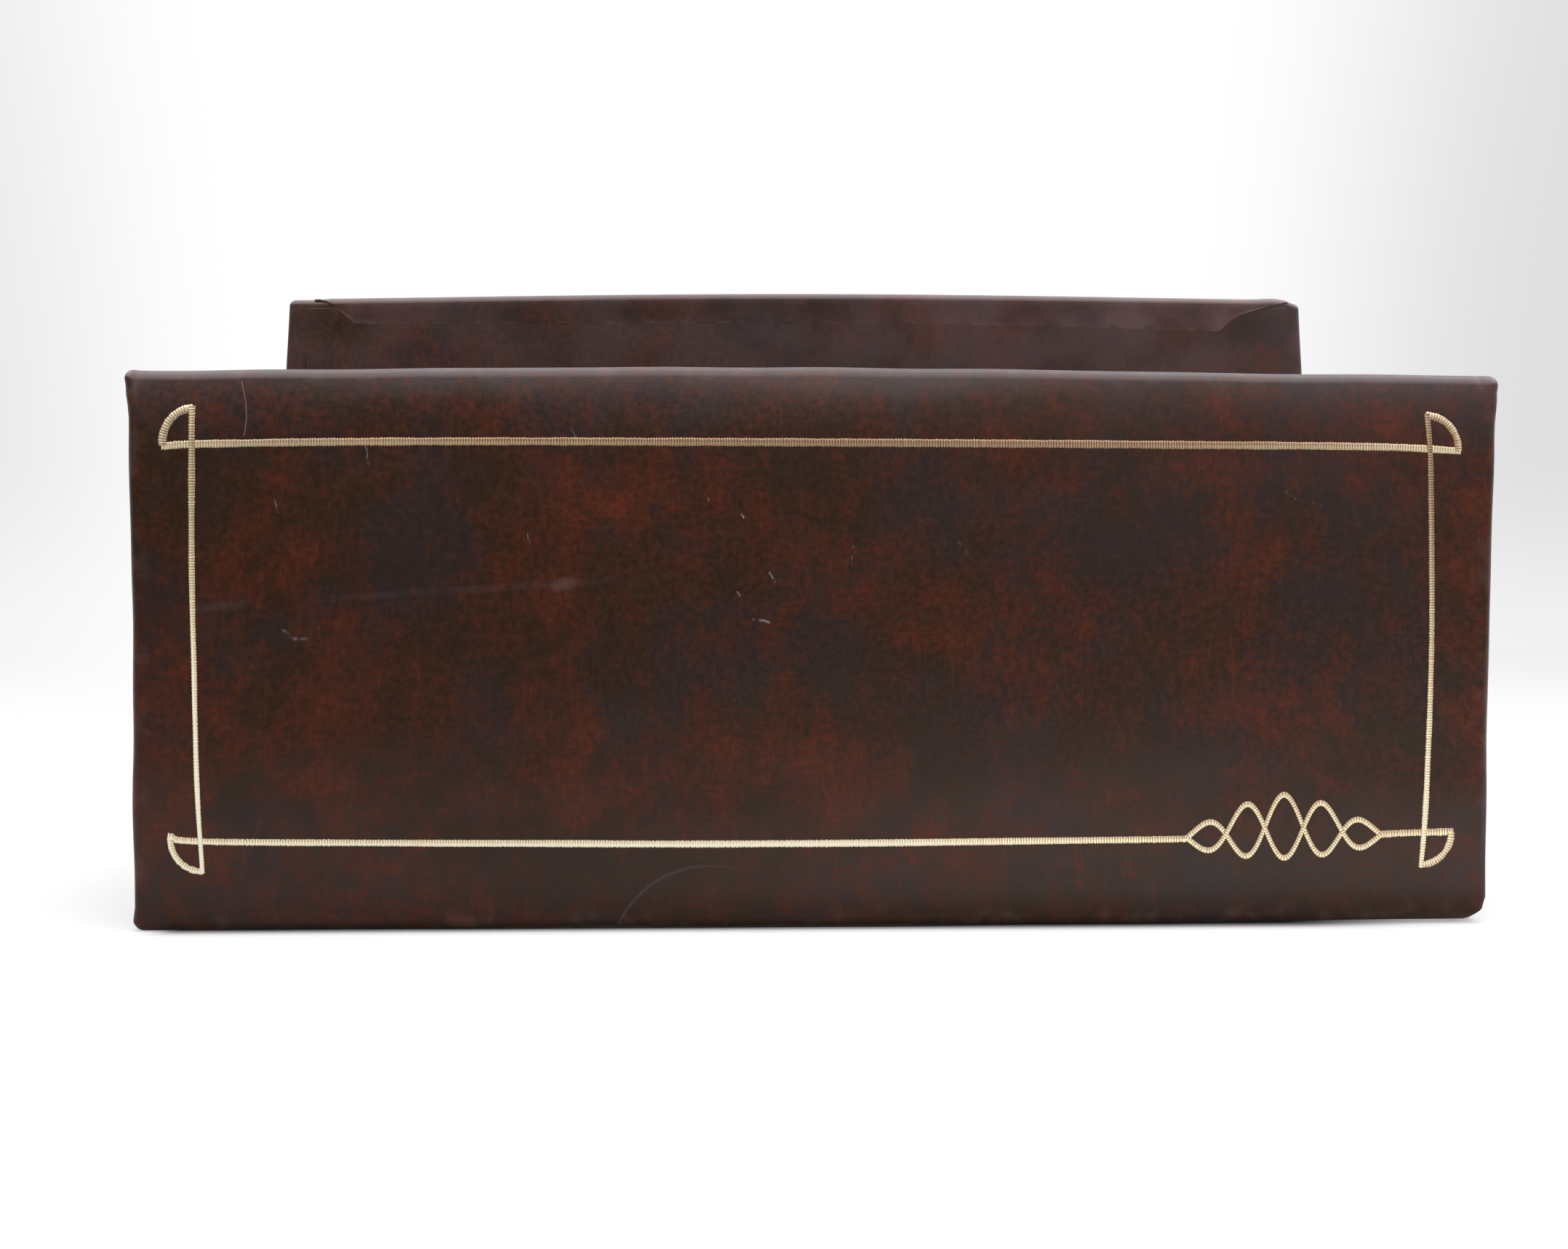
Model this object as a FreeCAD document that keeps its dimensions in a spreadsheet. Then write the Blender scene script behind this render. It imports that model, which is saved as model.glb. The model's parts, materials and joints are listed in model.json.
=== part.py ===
"""Desk envelope sorter with a drawer: a chipboard case wrapped in leatherette.

Millimetres, +Z up. The origin is the middle of the underside of the case. The decorated front faces -Y, and
the drawer under the slots pulls out of the right-hand end, along +X.
"""
import FreeCAD
import Part
import Sketcher
import os

doc = FreeCAD.newDocument("EnvelopeSorter")

# ---------------------------------------------------------------- driving dimensions

DRIVING_DIMENSIONS = [
    # whole case
    ("body_width", 260), ("body_depth", 92), ("front_height", 106), ("back_height", 141),
    ("side_rear_height", 118),
    # sheet goods
    ("board_thickness", 2.4), ("cover_thickness", 0.8), ("lining_thickness", 0.5),
    ("padding_thickness", 1.6), ("felt_thickness", 1.0), ("felt_inset", 3),
    # front panel: the folded cover swells the top corners
    ("corner_flare", 2.0), ("flare_start_height", 60), ("panel_corner_radius", 2.0),
    ("soft_edge_radius", 1.5), ("front_turn_in", 12),
    # back panel: narrows a little above the side walls
    ("back_taper", 1.0), ("back_turn_in", 7), ("back_side_turn_in", 5.3),
    # dividers
    ("divider_board_thickness", 2.0), ("front_divider_height", 108), ("rear_divider_height", 112),
    ("divider_corner_radius", 5),
    # drawer bay and drawer
    ("bay_height", 27.5), ("drawer_board_thickness", 2.0), ("drawer_side_gap", 0.5),
    ("drawer_glide_gap", 0.3), ("drawer_top_gap", 0.5), ("drawer_end_gap", 1.0),
    ("stop_strip_width", 6), ("stop_strip_drop", 2.4), ("stop_strip_place", 60),
    # knob and screw
    ("knob_length", 13), ("knob_radius", 6.5), ("knob_neck_radius", 2.8), ("knob_foot_radius", 4.5),
    ("knob_foot_thickness", 1.2), ("knob_head_thickness", 6), ("screw_radius", 1.5),
    ("screw_clearance", 0.05), ("screw_engagement", 6), ("screw_head_radius", 3),
    ("screw_head_thickness", 1.4),
    # gold border on the front
    ("gold_line_width", 1.3), ("gold_thickness", 0.15), ("border_side_margin", 11.5),
    ("border_top_margin", 12.7), ("border_bottom_margin", 15.6), ("border_loop_radius", 6.2),
]

sheet = doc.addObject("Spreadsheet::Sheet", "Sizes")
for row, (alias, size) in enumerate(DRIVING_DIMENSIONS, start=1):
    sheet.set("A%d" % row, alias)
    sheet.set("B%d" % row, str(size))
    sheet.setAlias("B%d" % row, alias)
doc.recompute()

# ---------------------------------------------------------------- places worked out from them

# Across the case (X). The clear width lies between the turned-in covers of the side walls.
HALF_WIDTH = "(Sizes.body_width / 2)"
SIDE_OUTER = "(Sizes.body_width / 2 - Sizes.cover_thickness)"
SIDE_INNER = "(Sizes.body_width / 2 - Sizes.cover_thickness - Sizes.board_thickness)"
SIDE_LINED = f"({SIDE_INNER} - Sizes.lining_thickness)"
CLEAR_HALF = f"({SIDE_INNER} - Sizes.cover_thickness)"

# Front to back (Y)
FRONT_FACE = "(-Sizes.body_depth / 2)"
FRONT_PADDING = f"({FRONT_FACE} + Sizes.cover_thickness)"
FRONT_OUTER = f"({FRONT_PADDING} + Sizes.padding_thickness)"
FRONT_INNER = f"({FRONT_OUTER} + Sizes.board_thickness)"
FRONT_LINED = f"({FRONT_INNER} + Sizes.lining_thickness)"
FRONT_CLEAR = f"({FRONT_INNER} + Sizes.cover_thickness)"
REAR_FACE = "(Sizes.body_depth / 2)"
REAR_OUTER = f"({REAR_FACE} - Sizes.cover_thickness)"
REAR_INNER = f"({REAR_OUTER} - Sizes.board_thickness)"
REAR_LINED = f"({REAR_INNER} - Sizes.lining_thickness)"
REAR_CLEAR = f"({REAR_INNER} - Sizes.cover_thickness)"
DIVIDER_THICKNESS = "(Sizes.divider_board_thickness + 2 * Sizes.cover_thickness)"
SLOT_DEPTH = f"(({REAR_CLEAR} - {FRONT_CLEAR} - 2 * {DIVIDER_THICKNESS}) / 3)"
FRONT_DIVIDER_FACE = f"({FRONT_CLEAR} + {SLOT_DEPTH})"
REAR_DIVIDER_FACE = f"({FRONT_DIVIDER_FACE} + {DIVIDER_THICKNESS} + {SLOT_DEPTH})"

# Upwards (Z)
UNDERSIDE = "Sizes.felt_thickness"
BAY_FLOOR = f"({UNDERSIDE} + Sizes.board_thickness)"
BAY_CEILING = f"({BAY_FLOOR} + Sizes.bay_height)"
SLOT_FLOOR = f"({BAY_CEILING} + Sizes.board_thickness)"
SLOT_FLOOR_LINED = f"({SLOT_FLOOR} + Sizes.lining_thickness)"
SIDE_FRONT_HEIGHT = "(Sizes.front_height - Sizes.front_turn_in)"

# The drawer fills the bay, less its gaps
DRAWER_FRONT_SIDE = f"({FRONT_CLEAR} + Sizes.drawer_side_gap)"
DRAWER_REAR_SIDE = f"({REAR_CLEAR} - Sizes.drawer_side_gap)"
DRAWER_MIDDLE = f"(({DRAWER_FRONT_SIDE} + {DRAWER_REAR_SIDE}) / 2)"
DRAWER_END = f"(-{SIDE_INNER} + Sizes.drawer_end_gap)"
DRAWER_UNDERSIDE = f"({BAY_FLOOR} + Sizes.drawer_glide_gap)"
DRAWER_FLOOR = f"({DRAWER_UNDERSIDE} + Sizes.drawer_board_thickness)"
DRAWER_FRONT_TOP = f"({BAY_CEILING} - Sizes.drawer_top_gap)"
DRAWER_WALL_TOP = f"({BAY_CEILING} - Sizes.stop_strip_drop - Sizes.drawer_top_gap)"
DRAWER_FRONT_INNER = f"({SIDE_OUTER} - Sizes.drawer_board_thickness)"
KNOB_HEIGHT = f"(({DRAWER_UNDERSIDE} + {DRAWER_FRONT_TOP}) / 2)"


def value(expression):
    """The number that an expression on the sheet gives now."""
    return float(sheet.evalExpression(expression))


# ---------------------------------------------------------------- ways of making a piece

def bind(thing, **expressions):
    """Bind properties to expressions; a double underscore stands for the dot of a sub-property."""
    for name, expression in expressions.items():
        thing.setExpression(name.replace("__", "."), expression)


def block(label, x, y, z):
    """A box between the (low, high) pairs x, y and z."""
    box = doc.addObject("Part::Box", label)
    box.Label = label
    bind(box,
         Length=f"{x[1]} - ({x[0]})", Width=f"{y[1]} - ({y[0]})", Height=f"{z[1]} - ({z[0]})",
         Placement__Base__x=x[0], Placement__Base__y=y[0], Placement__Base__z=z[0])
    return box


def sloped_wall(label, x, y, z_front, z_rear):
    """A wall between x and y whose lower and upper edges run from z_front to z_rear."""
    wall = doc.addObject("Part::Wedge", label)
    wall.Label = label
    bind(wall,
         Xmin=x[0], Xmax=x[1], X2min=x[0], X2max=x[1], Ymin=y[0], Ymax=y[1],
         Zmin=z_front[0], Zmax=z_front[1], Z2min=z_rear[0], Z2max=z_rear[1])
    return wall


def cut(label, base, *tools):
    """The base with each tool taken away."""
    for number, tool in enumerate(tools, start=1):
        last = number == len(tools)
        result = doc.addObject("Part::Cut", label if last else "%s_cut_%d" % (label, number))
        result.Base = base
        result.Tool = tool
        base = result
    base.Label = label
    return base


def fuse(label, *shapes):
    """One solid from touching shapes."""
    result = doc.addObject("Part::MultiFuse", label)
    result.Label = label
    result.Shapes = list(shapes)
    result.Refine = True
    return result


def sketch_on(body, name, role, offset, corners):
    """A closed polygon on an origin plane; each corner is an (across, up) pair of expressions."""
    plane = [feature for feature in body.Origin.OriginFeatures if feature.Role == role][0]
    sketch = body.newObject("Sketcher::SketchObject", name)
    sketch.AttachmentSupport = [(plane, "")]
    sketch.MapMode = "FlatFace"
    bind(sketch, AttachmentOffset__Base__z=offset)
    points = [FreeCAD.Vector(value(across), value(up), 0) for across, up in corners]
    count = len(points)
    for i, point in enumerate(points):
        sketch.addGeometry(Part.LineSegment(point, points[(i + 1) % count]), False)
    for i in range(count):
        sketch.addConstraint(Sketcher.Constraint("Coincident", i, 2, (i + 1) % count, 1))
    for i, (across, up) in enumerate(corners):
        for kind, expression in (("DistanceX", across), ("DistanceY", up)):
            number = sketch.addConstraint(Sketcher.Constraint(kind, -1, 1, i, 1, value(expression)))
            sketch.setExpression("Constraints[%d]" % number, expression)
    return sketch


def slab(label, corners, y, thickness):
    """An upright panel: an outline in the XZ plane padded backwards from y."""
    body = doc.addObject("PartDesign::Body", label)
    body.Label = label
    sketch = sketch_on(body, label + "_outline", "XZ_Plane", f"-({y})", corners)
    pad = body.newObject("PartDesign::Pad", label + "_pad")
    pad.Profile = sketch
    pad.Reversed = True
    bind(pad, Length=thickness)
    sketch.Visibility = False
    doc.recompute()
    return body


def round_edges(body, name, radius, chosen):
    """Fillet the body's edges for which chosen(middle, direction) holds."""
    base = body.Tip
    names = []
    for number, edge in enumerate(base.Shape.Edges, start=1):
        first, last = edge.ParameterRange
        middle = edge.valueAt((first + last) / 2)
        if chosen(middle, edge.tangentAt((first + last) / 2)):
            names.append("Edge%d" % number)
    fillet = body.newObject("PartDesign::Fillet", name)
    fillet.Base = (base, names)
    bind(fillet, Radius=radius)
    doc.recompute()
    return fillet


def runs_back(middle, direction):
    """An edge that runs front to back, at a corner of a panel."""
    return abs(direction.y) > 0.99


# ---------------------------------------------------------------- front wall

def front_outline(inset, bottom):
    """The front panel's outline, inset all round but at the bottom: its upper part flares outwards."""
    side = f"({HALF_WIDTH} - {inset})"
    flared = f"({HALF_WIDTH} + Sizes.corner_flare - {inset})"
    top = f"(Sizes.front_height - {inset})"
    return [(f"-{side}", bottom), (side, bottom), (side, "Sizes.flare_start_height"), (flared, top),
            (f"-{flared}", top), (f"-{side}", "Sizes.flare_start_height")]


def at_top_corner(middle, direction):
    return runs_back(middle, direction) and middle.z > value("Sizes.flare_start_height") + 1


CORE_CORNER = "Sizes.panel_corner_radius - Sizes.cover_thickness"

front_board = slab("front_board", front_outline("Sizes.cover_thickness", BAY_FLOOR),
                   FRONT_OUTER, "Sizes.board_thickness")
round_edges(front_board, "front_board_corners", CORE_CORNER, at_top_corner)

front_padding = slab("front_padding", front_outline("Sizes.cover_thickness", UNDERSIDE),
                     FRONT_PADDING, "Sizes.padding_thickness")
round_edges(front_padding, "front_padding_corners", CORE_CORNER, at_top_corner)

front_shell = slab("front_shell", front_outline("0", UNDERSIDE), FRONT_FACE, f"{FRONT_CLEAR} - {FRONT_FACE}")
round_edges(front_shell, "front_shell_corners", "Sizes.panel_corner_radius", at_top_corner)
round_edges(front_shell, "front_shell_soft_edge", "Sizes.soft_edge_radius",
            lambda middle, direction: abs(middle.y - value(FRONT_FACE)) < 0.01
            and middle.z > value(UNDERSIDE) + 0.01)
below_front_turn_in = block("below_front_turn_in", (f"-{SIDE_INNER}", SIDE_INNER),
                            (FRONT_INNER, FRONT_CLEAR), ("0", SIDE_FRONT_HEIGHT))
base_room = block("base_room", (f"-{SIDE_OUTER}", SIDE_OUTER), (FRONT_OUTER, REAR_OUTER), ("0", BAY_FLOOR))
front_cover = cut("front_cover", front_shell, front_board, front_padding, below_front_turn_in, base_room)

front_lining = block("front_lining", (f"-{SIDE_INNER}", SIDE_INNER), (FRONT_INNER, FRONT_LINED),
                     (SLOT_FLOOR, SIDE_FRONT_HEIGHT))

# ---------------------------------------------------------------- back wall


def back_outline(inset, bottom):
    """The back panel's outline: it narrows above the side walls."""
    side = f"({HALF_WIDTH} - {inset})"
    narrowed = f"({HALF_WIDTH} - Sizes.back_taper - {inset})"
    top = f"(Sizes.back_height - {inset})"
    return [(f"-{side}", bottom), (side, bottom), (side, "Sizes.side_rear_height"), (narrowed, top),
            (f"-{narrowed}", top), (f"-{side}", "Sizes.side_rear_height")]


def at_back_top_corner(middle, direction):
    return runs_back(middle, direction) and middle.z > value("Sizes.side_rear_height") + 1


back_board = slab("back_board", back_outline("Sizes.cover_thickness", BAY_FLOOR),
                  REAR_INNER, "Sizes.board_thickness")
round_edges(back_board, "back_board_corners", CORE_CORNER, at_back_top_corner)

back_shell = slab("back_shell", back_outline("0", UNDERSIDE), REAR_CLEAR, f"{REAR_FACE} - {REAR_CLEAR}")
round_edges(back_shell, "back_shell_corners", "Sizes.panel_corner_radius", at_back_top_corner)
below_back_turn_in = block("below_back_turn_in",
                           (f"-{HALF_WIDTH} + Sizes.back_side_turn_in", f"{HALF_WIDTH} - Sizes.back_side_turn_in"),
                           (REAR_CLEAR, REAR_INNER), ("0", "Sizes.back_height - Sizes.back_turn_in"))
between_side_walls = block("between_side_walls", (f"-{SIDE_INNER}", SIDE_INNER), (REAR_CLEAR, REAR_INNER),
                           ("0", "Sizes.side_rear_height"))
back_cover = cut("back_cover", back_shell, back_board, below_back_turn_in, between_side_walls, base_room)

back_lining = block("back_lining",
                    (f"-{HALF_WIDTH} + Sizes.back_side_turn_in", f"{HALF_WIDTH} - Sizes.back_side_turn_in"),
                    (REAR_LINED, REAR_INNER), (SLOT_FLOOR, "Sizes.back_height - Sizes.back_turn_in"))

# ---------------------------------------------------------------- side walls


def side_wall(side, sign, foot, cover_foot):
    """A side wall's board, its cover with the turned-in margin, and its lining.

    sign is -1 for the left wall and "" for the right; foot is where the board stands."""

    def across(outer, inner):
        return (f"-{outer}", f"-{inner}") if sign else (inner, outer)

    along = (FRONT_CLEAR, REAR_CLEAR)
    under_cover = "Sizes.cover_thickness"
    front_top, rear_top = SIDE_FRONT_HEIGHT, "Sizes.side_rear_height"
    turned_front = f"({front_top} - Sizes.front_turn_in)"
    turned_rear = f"({rear_top} - Sizes.front_turn_in)"
    board = sloped_wall(f"{side}_side_board", across(SIDE_OUTER, SIDE_INNER), along,
                        (foot, f"{front_top} - {under_cover}"), (foot, f"{rear_top} - {under_cover}"))
    outer_skin = sloped_wall(f"{side}_side_outer_skin", across(HALF_WIDTH, SIDE_OUTER), along,
                             (cover_foot, front_top), (cover_foot, rear_top))
    top_fold = sloped_wall(f"{side}_side_top_fold", across(SIDE_OUTER, SIDE_INNER), along,
                           (f"{front_top} - {under_cover}", front_top), (f"{rear_top} - {under_cover}", rear_top))
    turn_in = sloped_wall(f"{side}_side_turn_in", across(SIDE_INNER, CLEAR_HALF), along,
                          (turned_front, front_top), (turned_rear, rear_top))
    cover = fuse(f"{side}_side_cover", outer_skin, top_fold, turn_in)
    lining = sloped_wall(f"{side}_side_lining", across(SIDE_INNER, SIDE_LINED), along,
                         (SLOT_FLOOR, turned_front), (SLOT_FLOOR, turned_rear))
    return board, cover, lining


left_side = side_wall("left", "-", BAY_FLOOR, UNDERSIDE)
right_side = side_wall("right", "", BAY_CEILING, BAY_CEILING)

# ---------------------------------------------------------------- base, slot floor and dividers

base_felt = block("base_felt",
                  (f"-{HALF_WIDTH} + Sizes.felt_inset", f"{HALF_WIDTH} - Sizes.felt_inset"),
                  (f"{FRONT_FACE} + Sizes.felt_inset", f"{REAR_FACE} - Sizes.felt_inset"), ("0", UNDERSIDE))
base_board = block("base_board", (f"-{SIDE_OUTER}", SIDE_OUTER), (FRONT_OUTER, REAR_OUTER),
                   (UNDERSIDE, BAY_FLOOR))
base_edge_cover = block("base_edge_cover", (SIDE_OUTER, HALF_WIDTH), (FRONT_CLEAR, REAR_CLEAR),
                        (UNDERSIDE, BAY_FLOOR))
slot_floor_board = block("slot_floor_board", (f"-{SIDE_INNER}", SIDE_INNER), (FRONT_INNER, REAR_INNER),
                         (BAY_CEILING, SLOT_FLOOR))
slot_floor_lining = block("slot_floor_lining", (f"-{SIDE_LINED}", SIDE_LINED), (FRONT_LINED, REAR_LINED),
                          (SLOT_FLOOR, SLOT_FLOOR_LINED))
drawer_stop_strip = block("drawer_stop_strip",
                          ("Sizes.stop_strip_place", "Sizes.stop_strip_place + Sizes.stop_strip_width"),
                          (FRONT_INNER, REAR_INNER), (f"{BAY_CEILING} - Sizes.stop_strip_drop", BAY_CEILING))


def divider(name, face, height):
    """A divider: a board standing on the slot floor, and the cover folded over its top edge."""

    def outline(inset):
        top = f"({height} - {inset})"
        side = f"({CLEAR_HALF} - {inset})"
        return [(f"-{side}", SLOT_FLOOR_LINED), (side, SLOT_FLOOR_LINED), (side, top), (f"-{side}", top)]

    def at_top(middle, direction):
        return runs_back(middle, direction) and middle.z > value(height) / 2

    board = slab(f"{name}_board", outline("Sizes.cover_thickness"), f"({face} + Sizes.cover_thickness)",
                 "Sizes.divider_board_thickness")
    round_edges(board, f"{name}_board_corners", "Sizes.divider_corner_radius - Sizes.cover_thickness", at_top)
    shell = slab(f"{name}_shell", outline("0"), face, DIVIDER_THICKNESS)
    round_edges(shell, f"{name}_shell_corners", "Sizes.divider_corner_radius", at_top)
    return board, cut(f"{name}_cover", shell, board)


front_divider = divider("front_divider", FRONT_DIVIDER_FACE, "Sizes.front_divider_height")
rear_divider = divider("rear_divider", REAR_DIVIDER_FACE, "Sizes.rear_divider_height")

# ---------------------------------------------------------------- gold border

LINE_FRONT = f"({FRONT_FACE} - Sizes.gold_thickness)"
LINE_DEPTH = (LINE_FRONT, FRONT_FACE)
LINE_SIDE = f"({HALF_WIDTH} - Sizes.border_side_margin)"
LINE_TOP = "(Sizes.front_height - Sizes.border_top_margin)"
LINE_BOTTOM = f"({UNDERSIDE} + Sizes.border_bottom_margin)"
HALF_LINE = "Sizes.gold_line_width / 2"


def quarter_ring(label, across, height, turn):
    """A quarter loop of gold line about a corner of the border; turn is about +Y, from the +X+Z quarter."""
    discs = []
    for part, radius, angle in (("outer", f"Sizes.border_loop_radius + {HALF_LINE}", 90),
                                ("inner", f"Sizes.border_loop_radius - {HALF_LINE}", 360)):
        disc = doc.addObject("Part::Cylinder", f"{label}_{part}")
        disc.Angle = angle
        upright = FreeCAD.Rotation(FreeCAD.Vector(1, 0, 0), 90)
        about_depth = FreeCAD.Rotation(FreeCAD.Vector(0, 1, 0), turn)
        disc.Placement = FreeCAD.Placement(FreeCAD.Vector(0, 0, 0), about_depth.multiply(upright))
        bind(disc, Radius=radius, Height="Sizes.gold_thickness",
             Placement__Base__x=across, Placement__Base__y=FRONT_FACE, Placement__Base__z=height)
        discs.append(disc)
    return cut(label, *discs)


strokes = [
    block(f"{name}_line", (f"-{LINE_SIDE} - Sizes.border_loop_radius", f"{LINE_SIDE} + Sizes.border_loop_radius"),
          LINE_DEPTH, (f"{height} - {HALF_LINE}", f"{height} + {HALF_LINE}"))
    for name, height in (("top", LINE_TOP), ("bottom", LINE_BOTTOM))
] + [
    block(f"{name}_line", (f"{across} - {HALF_LINE}", f"{across} + {HALF_LINE}"), LINE_DEPTH,
          (f"{LINE_BOTTOM} - Sizes.border_loop_radius", f"{LINE_TOP} + Sizes.border_loop_radius"))
    for name, across in (("left", f"-{LINE_SIDE}"), ("right", LINE_SIDE))
] + [
    quarter_ring("top_right_loop", LINE_SIDE, LINE_TOP, 0),
    quarter_ring("bottom_right_loop", LINE_SIDE, LINE_BOTTOM, 90),
    quarter_ring("bottom_left_loop", f"-{LINE_SIDE}", LINE_BOTTOM, 180),
    quarter_ring("top_left_loop", f"-{LINE_SIDE}", LINE_TOP, 270),
]
gold_border = fuse("gold_border", *strokes)

# ---------------------------------------------------------------- drawer

LONG_WALL_RUN = (f"({DRAWER_END} + Sizes.drawer_board_thickness)", DRAWER_FRONT_INNER)

drawer_bottom = block("drawer_bottom", (DRAWER_END, DRAWER_FRONT_INNER), (DRAWER_FRONT_SIDE, DRAWER_REAR_SIDE),
                      (DRAWER_UNDERSIDE, DRAWER_FLOOR))
drawer_end_wall = block("drawer_end_wall", (DRAWER_END, LONG_WALL_RUN[0]), (DRAWER_FRONT_SIDE, DRAWER_REAR_SIDE),
                        (DRAWER_FLOOR, DRAWER_FRONT_TOP))
near_long_wall = block("drawer_near_wall", LONG_WALL_RUN,
                       (DRAWER_FRONT_SIDE, f"{DRAWER_FRONT_SIDE} + Sizes.drawer_board_thickness"),
                       (DRAWER_FLOOR, DRAWER_WALL_TOP))
far_long_wall = block("drawer_far_wall", LONG_WALL_RUN,
                      (f"{DRAWER_REAR_SIDE} - Sizes.drawer_board_thickness", DRAWER_REAR_SIDE),
                      (DRAWER_FLOOR, DRAWER_WALL_TOP))

# The front board has the screw's hole; its cover wraps the outer face and the four edges.
CORE_FRONT_SIDE = f"({DRAWER_FRONT_SIDE} + Sizes.cover_thickness)"
CORE_REAR_SIDE = f"({DRAWER_REAR_SIDE} - Sizes.cover_thickness)"
CORE_UNDERSIDE = f"({DRAWER_UNDERSIDE} + Sizes.cover_thickness)"
CORE_TOP = f"({DRAWER_FRONT_TOP} - Sizes.cover_thickness)"
front_core = block("drawer_front_core", (DRAWER_FRONT_INNER, SIDE_OUTER), (CORE_FRONT_SIDE, CORE_REAR_SIDE),
                   (CORE_UNDERSIDE, CORE_TOP))
front_wrap = block("drawer_front_wrap", (DRAWER_FRONT_INNER, HALF_WIDTH), (DRAWER_FRONT_SIDE, DRAWER_REAR_SIDE),
                   (DRAWER_UNDERSIDE, DRAWER_FRONT_TOP))


def rod_along_x(label, radius, x):
    """A cylinder along the knob's axis, between the (low, high) pair x."""
    rod = doc.addObject("Part::Cylinder", label)
    rod.Placement = FreeCAD.Placement(FreeCAD.Vector(0, 0, 0), FreeCAD.Rotation(FreeCAD.Vector(0, 1, 0), 90))
    bind(rod, Radius=radius, Height=f"{x[1]} - ({x[0]})",
         Placement__Base__x=x[0], Placement__Base__y=DRAWER_MIDDLE, Placement__Base__z=KNOB_HEIGHT)
    return rod


screw_hole = rod_along_x("screw_hole", "Sizes.screw_radius + Sizes.screw_clearance",
                         (DRAWER_FRONT_INNER, HALF_WIDTH))
drawer_front_board = cut("drawer_front_board", front_core, screw_hole)
drawer_front_cover = cut("drawer_front_cover", front_wrap, front_core, screw_hole)

# Paper lining: a tray of its own inside the walls, with a round hole for the screw's head.
TRAY_X = (LONG_WALL_RUN[0], DRAWER_FRONT_INNER)
TRAY_Y = (f"({DRAWER_FRONT_SIDE} + Sizes.drawer_board_thickness)",
          f"({DRAWER_REAR_SIDE} - Sizes.drawer_board_thickness)")
tray_outside = block("tray_outside", TRAY_X, TRAY_Y, (DRAWER_FLOOR, DRAWER_WALL_TOP))
tray_inside = block("tray_inside",
                    (f"{TRAY_X[0]} + Sizes.lining_thickness", f"{TRAY_X[1]} - Sizes.lining_thickness"),
                    (f"{TRAY_Y[0]} + Sizes.lining_thickness", f"{TRAY_Y[1]} - Sizes.lining_thickness"),
                    (f"{DRAWER_FLOOR} + Sizes.lining_thickness", f"{DRAWER_WALL_TOP} + Sizes.lining_thickness"))
head_room = rod_along_x("head_room", "Sizes.screw_head_radius + Sizes.screw_clearance",
                        (f"{DRAWER_FRONT_INNER} - Sizes.screw_head_thickness", DRAWER_FRONT_INNER))
drawer_lining = cut("drawer_lining", tray_outside, tray_inside, head_room)


def turned(label, profile):
    """A turned piece: a closed (along, radius) profile revolved about the knob's axis, which lies along X."""
    body = doc.addObject("PartDesign::Body", label)
    body.Label = label
    sketch = sketch_on(body, label + "_profile", "XY_Plane", "0", profile)
    revolution = body.newObject("PartDesign::Revolution", label + "_turned")
    revolution.Profile = sketch
    revolution.ReferenceAxis = (sketch, ["H_Axis"])
    revolution.Angle = 360
    sketch.Visibility = False
    bind(body, Placement__Base__y=DRAWER_MIDDLE, Placement__Base__z=KNOB_HEIGHT)
    doc.recompute()
    return body


KNOB_TIP = f"({HALF_WIDTH} + Sizes.knob_length)"
KNOB_NECK_END = f"({KNOB_TIP} - Sizes.knob_head_thickness)"
BORE = "(Sizes.screw_radius + Sizes.screw_clearance)"
BORE_END = f"({HALF_WIDTH} + Sizes.screw_engagement + 4 * Sizes.screw_clearance)"
drawer_knob = turned("drawer_knob", [
    (HALF_WIDTH, BORE), (HALF_WIDTH, "Sizes.knob_foot_radius"),
    (f"{HALF_WIDTH} + Sizes.knob_foot_thickness", "Sizes.knob_foot_radius"),
    (f"{HALF_WIDTH} + 2 * Sizes.knob_foot_thickness", "Sizes.knob_neck_radius"),
    (f"{KNOB_NECK_END} - Sizes.knob_foot_thickness", "Sizes.knob_neck_radius"),
    (KNOB_NECK_END, "Sizes.knob_radius"), (f"{KNOB_TIP} - Sizes.knob_head_thickness / 3", "Sizes.knob_radius"),
    (KNOB_TIP, "Sizes.knob_radius * 0.6"), (KNOB_TIP, "0"), (BORE_END, "0"), (BORE_END, BORE),
])
drawer_knob_screw = turned("drawer_knob_screw", [
    (f"{DRAWER_FRONT_INNER} - Sizes.screw_head_thickness", "0"),
    (f"{DRAWER_FRONT_INNER} - Sizes.screw_head_thickness", "Sizes.screw_head_radius"),
    (DRAWER_FRONT_INNER, "Sizes.screw_head_radius"), (DRAWER_FRONT_INNER, "Sizes.screw_radius"),
    (f"{HALF_WIDTH} + Sizes.screw_engagement", "Sizes.screw_radius"),
    (f"{HALF_WIDTH} + Sizes.screw_engagement", "0"),
])

# ---------------------------------------------------------------- check and write

PIECES = [
    base_felt, base_board, base_edge_cover, front_board, front_padding, front_cover, front_lining, gold_border,
    back_board, back_cover, back_lining, *left_side, *right_side, slot_floor_board, slot_floor_lining,
    *front_divider, *rear_divider, drawer_stop_strip,
    drawer_bottom, drawer_end_wall, near_long_wall, far_long_wall, drawer_front_board, drawer_front_cover,
    drawer_lining, drawer_knob, drawer_knob_screw,
]

doc.recompute()
failed = [thing.Label for thing in doc.Objects if "Invalid" in thing.State or "Error" in thing.State]
if failed:
    raise RuntimeError("these objects failed: " + ", ".join(failed))
for piece in PIECES:
    if piece.Shape.isNull() or not piece.Shape.isValid() or not piece.Shape.Solids:
        raise RuntimeError("bad shape: " + piece.Label)

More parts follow.
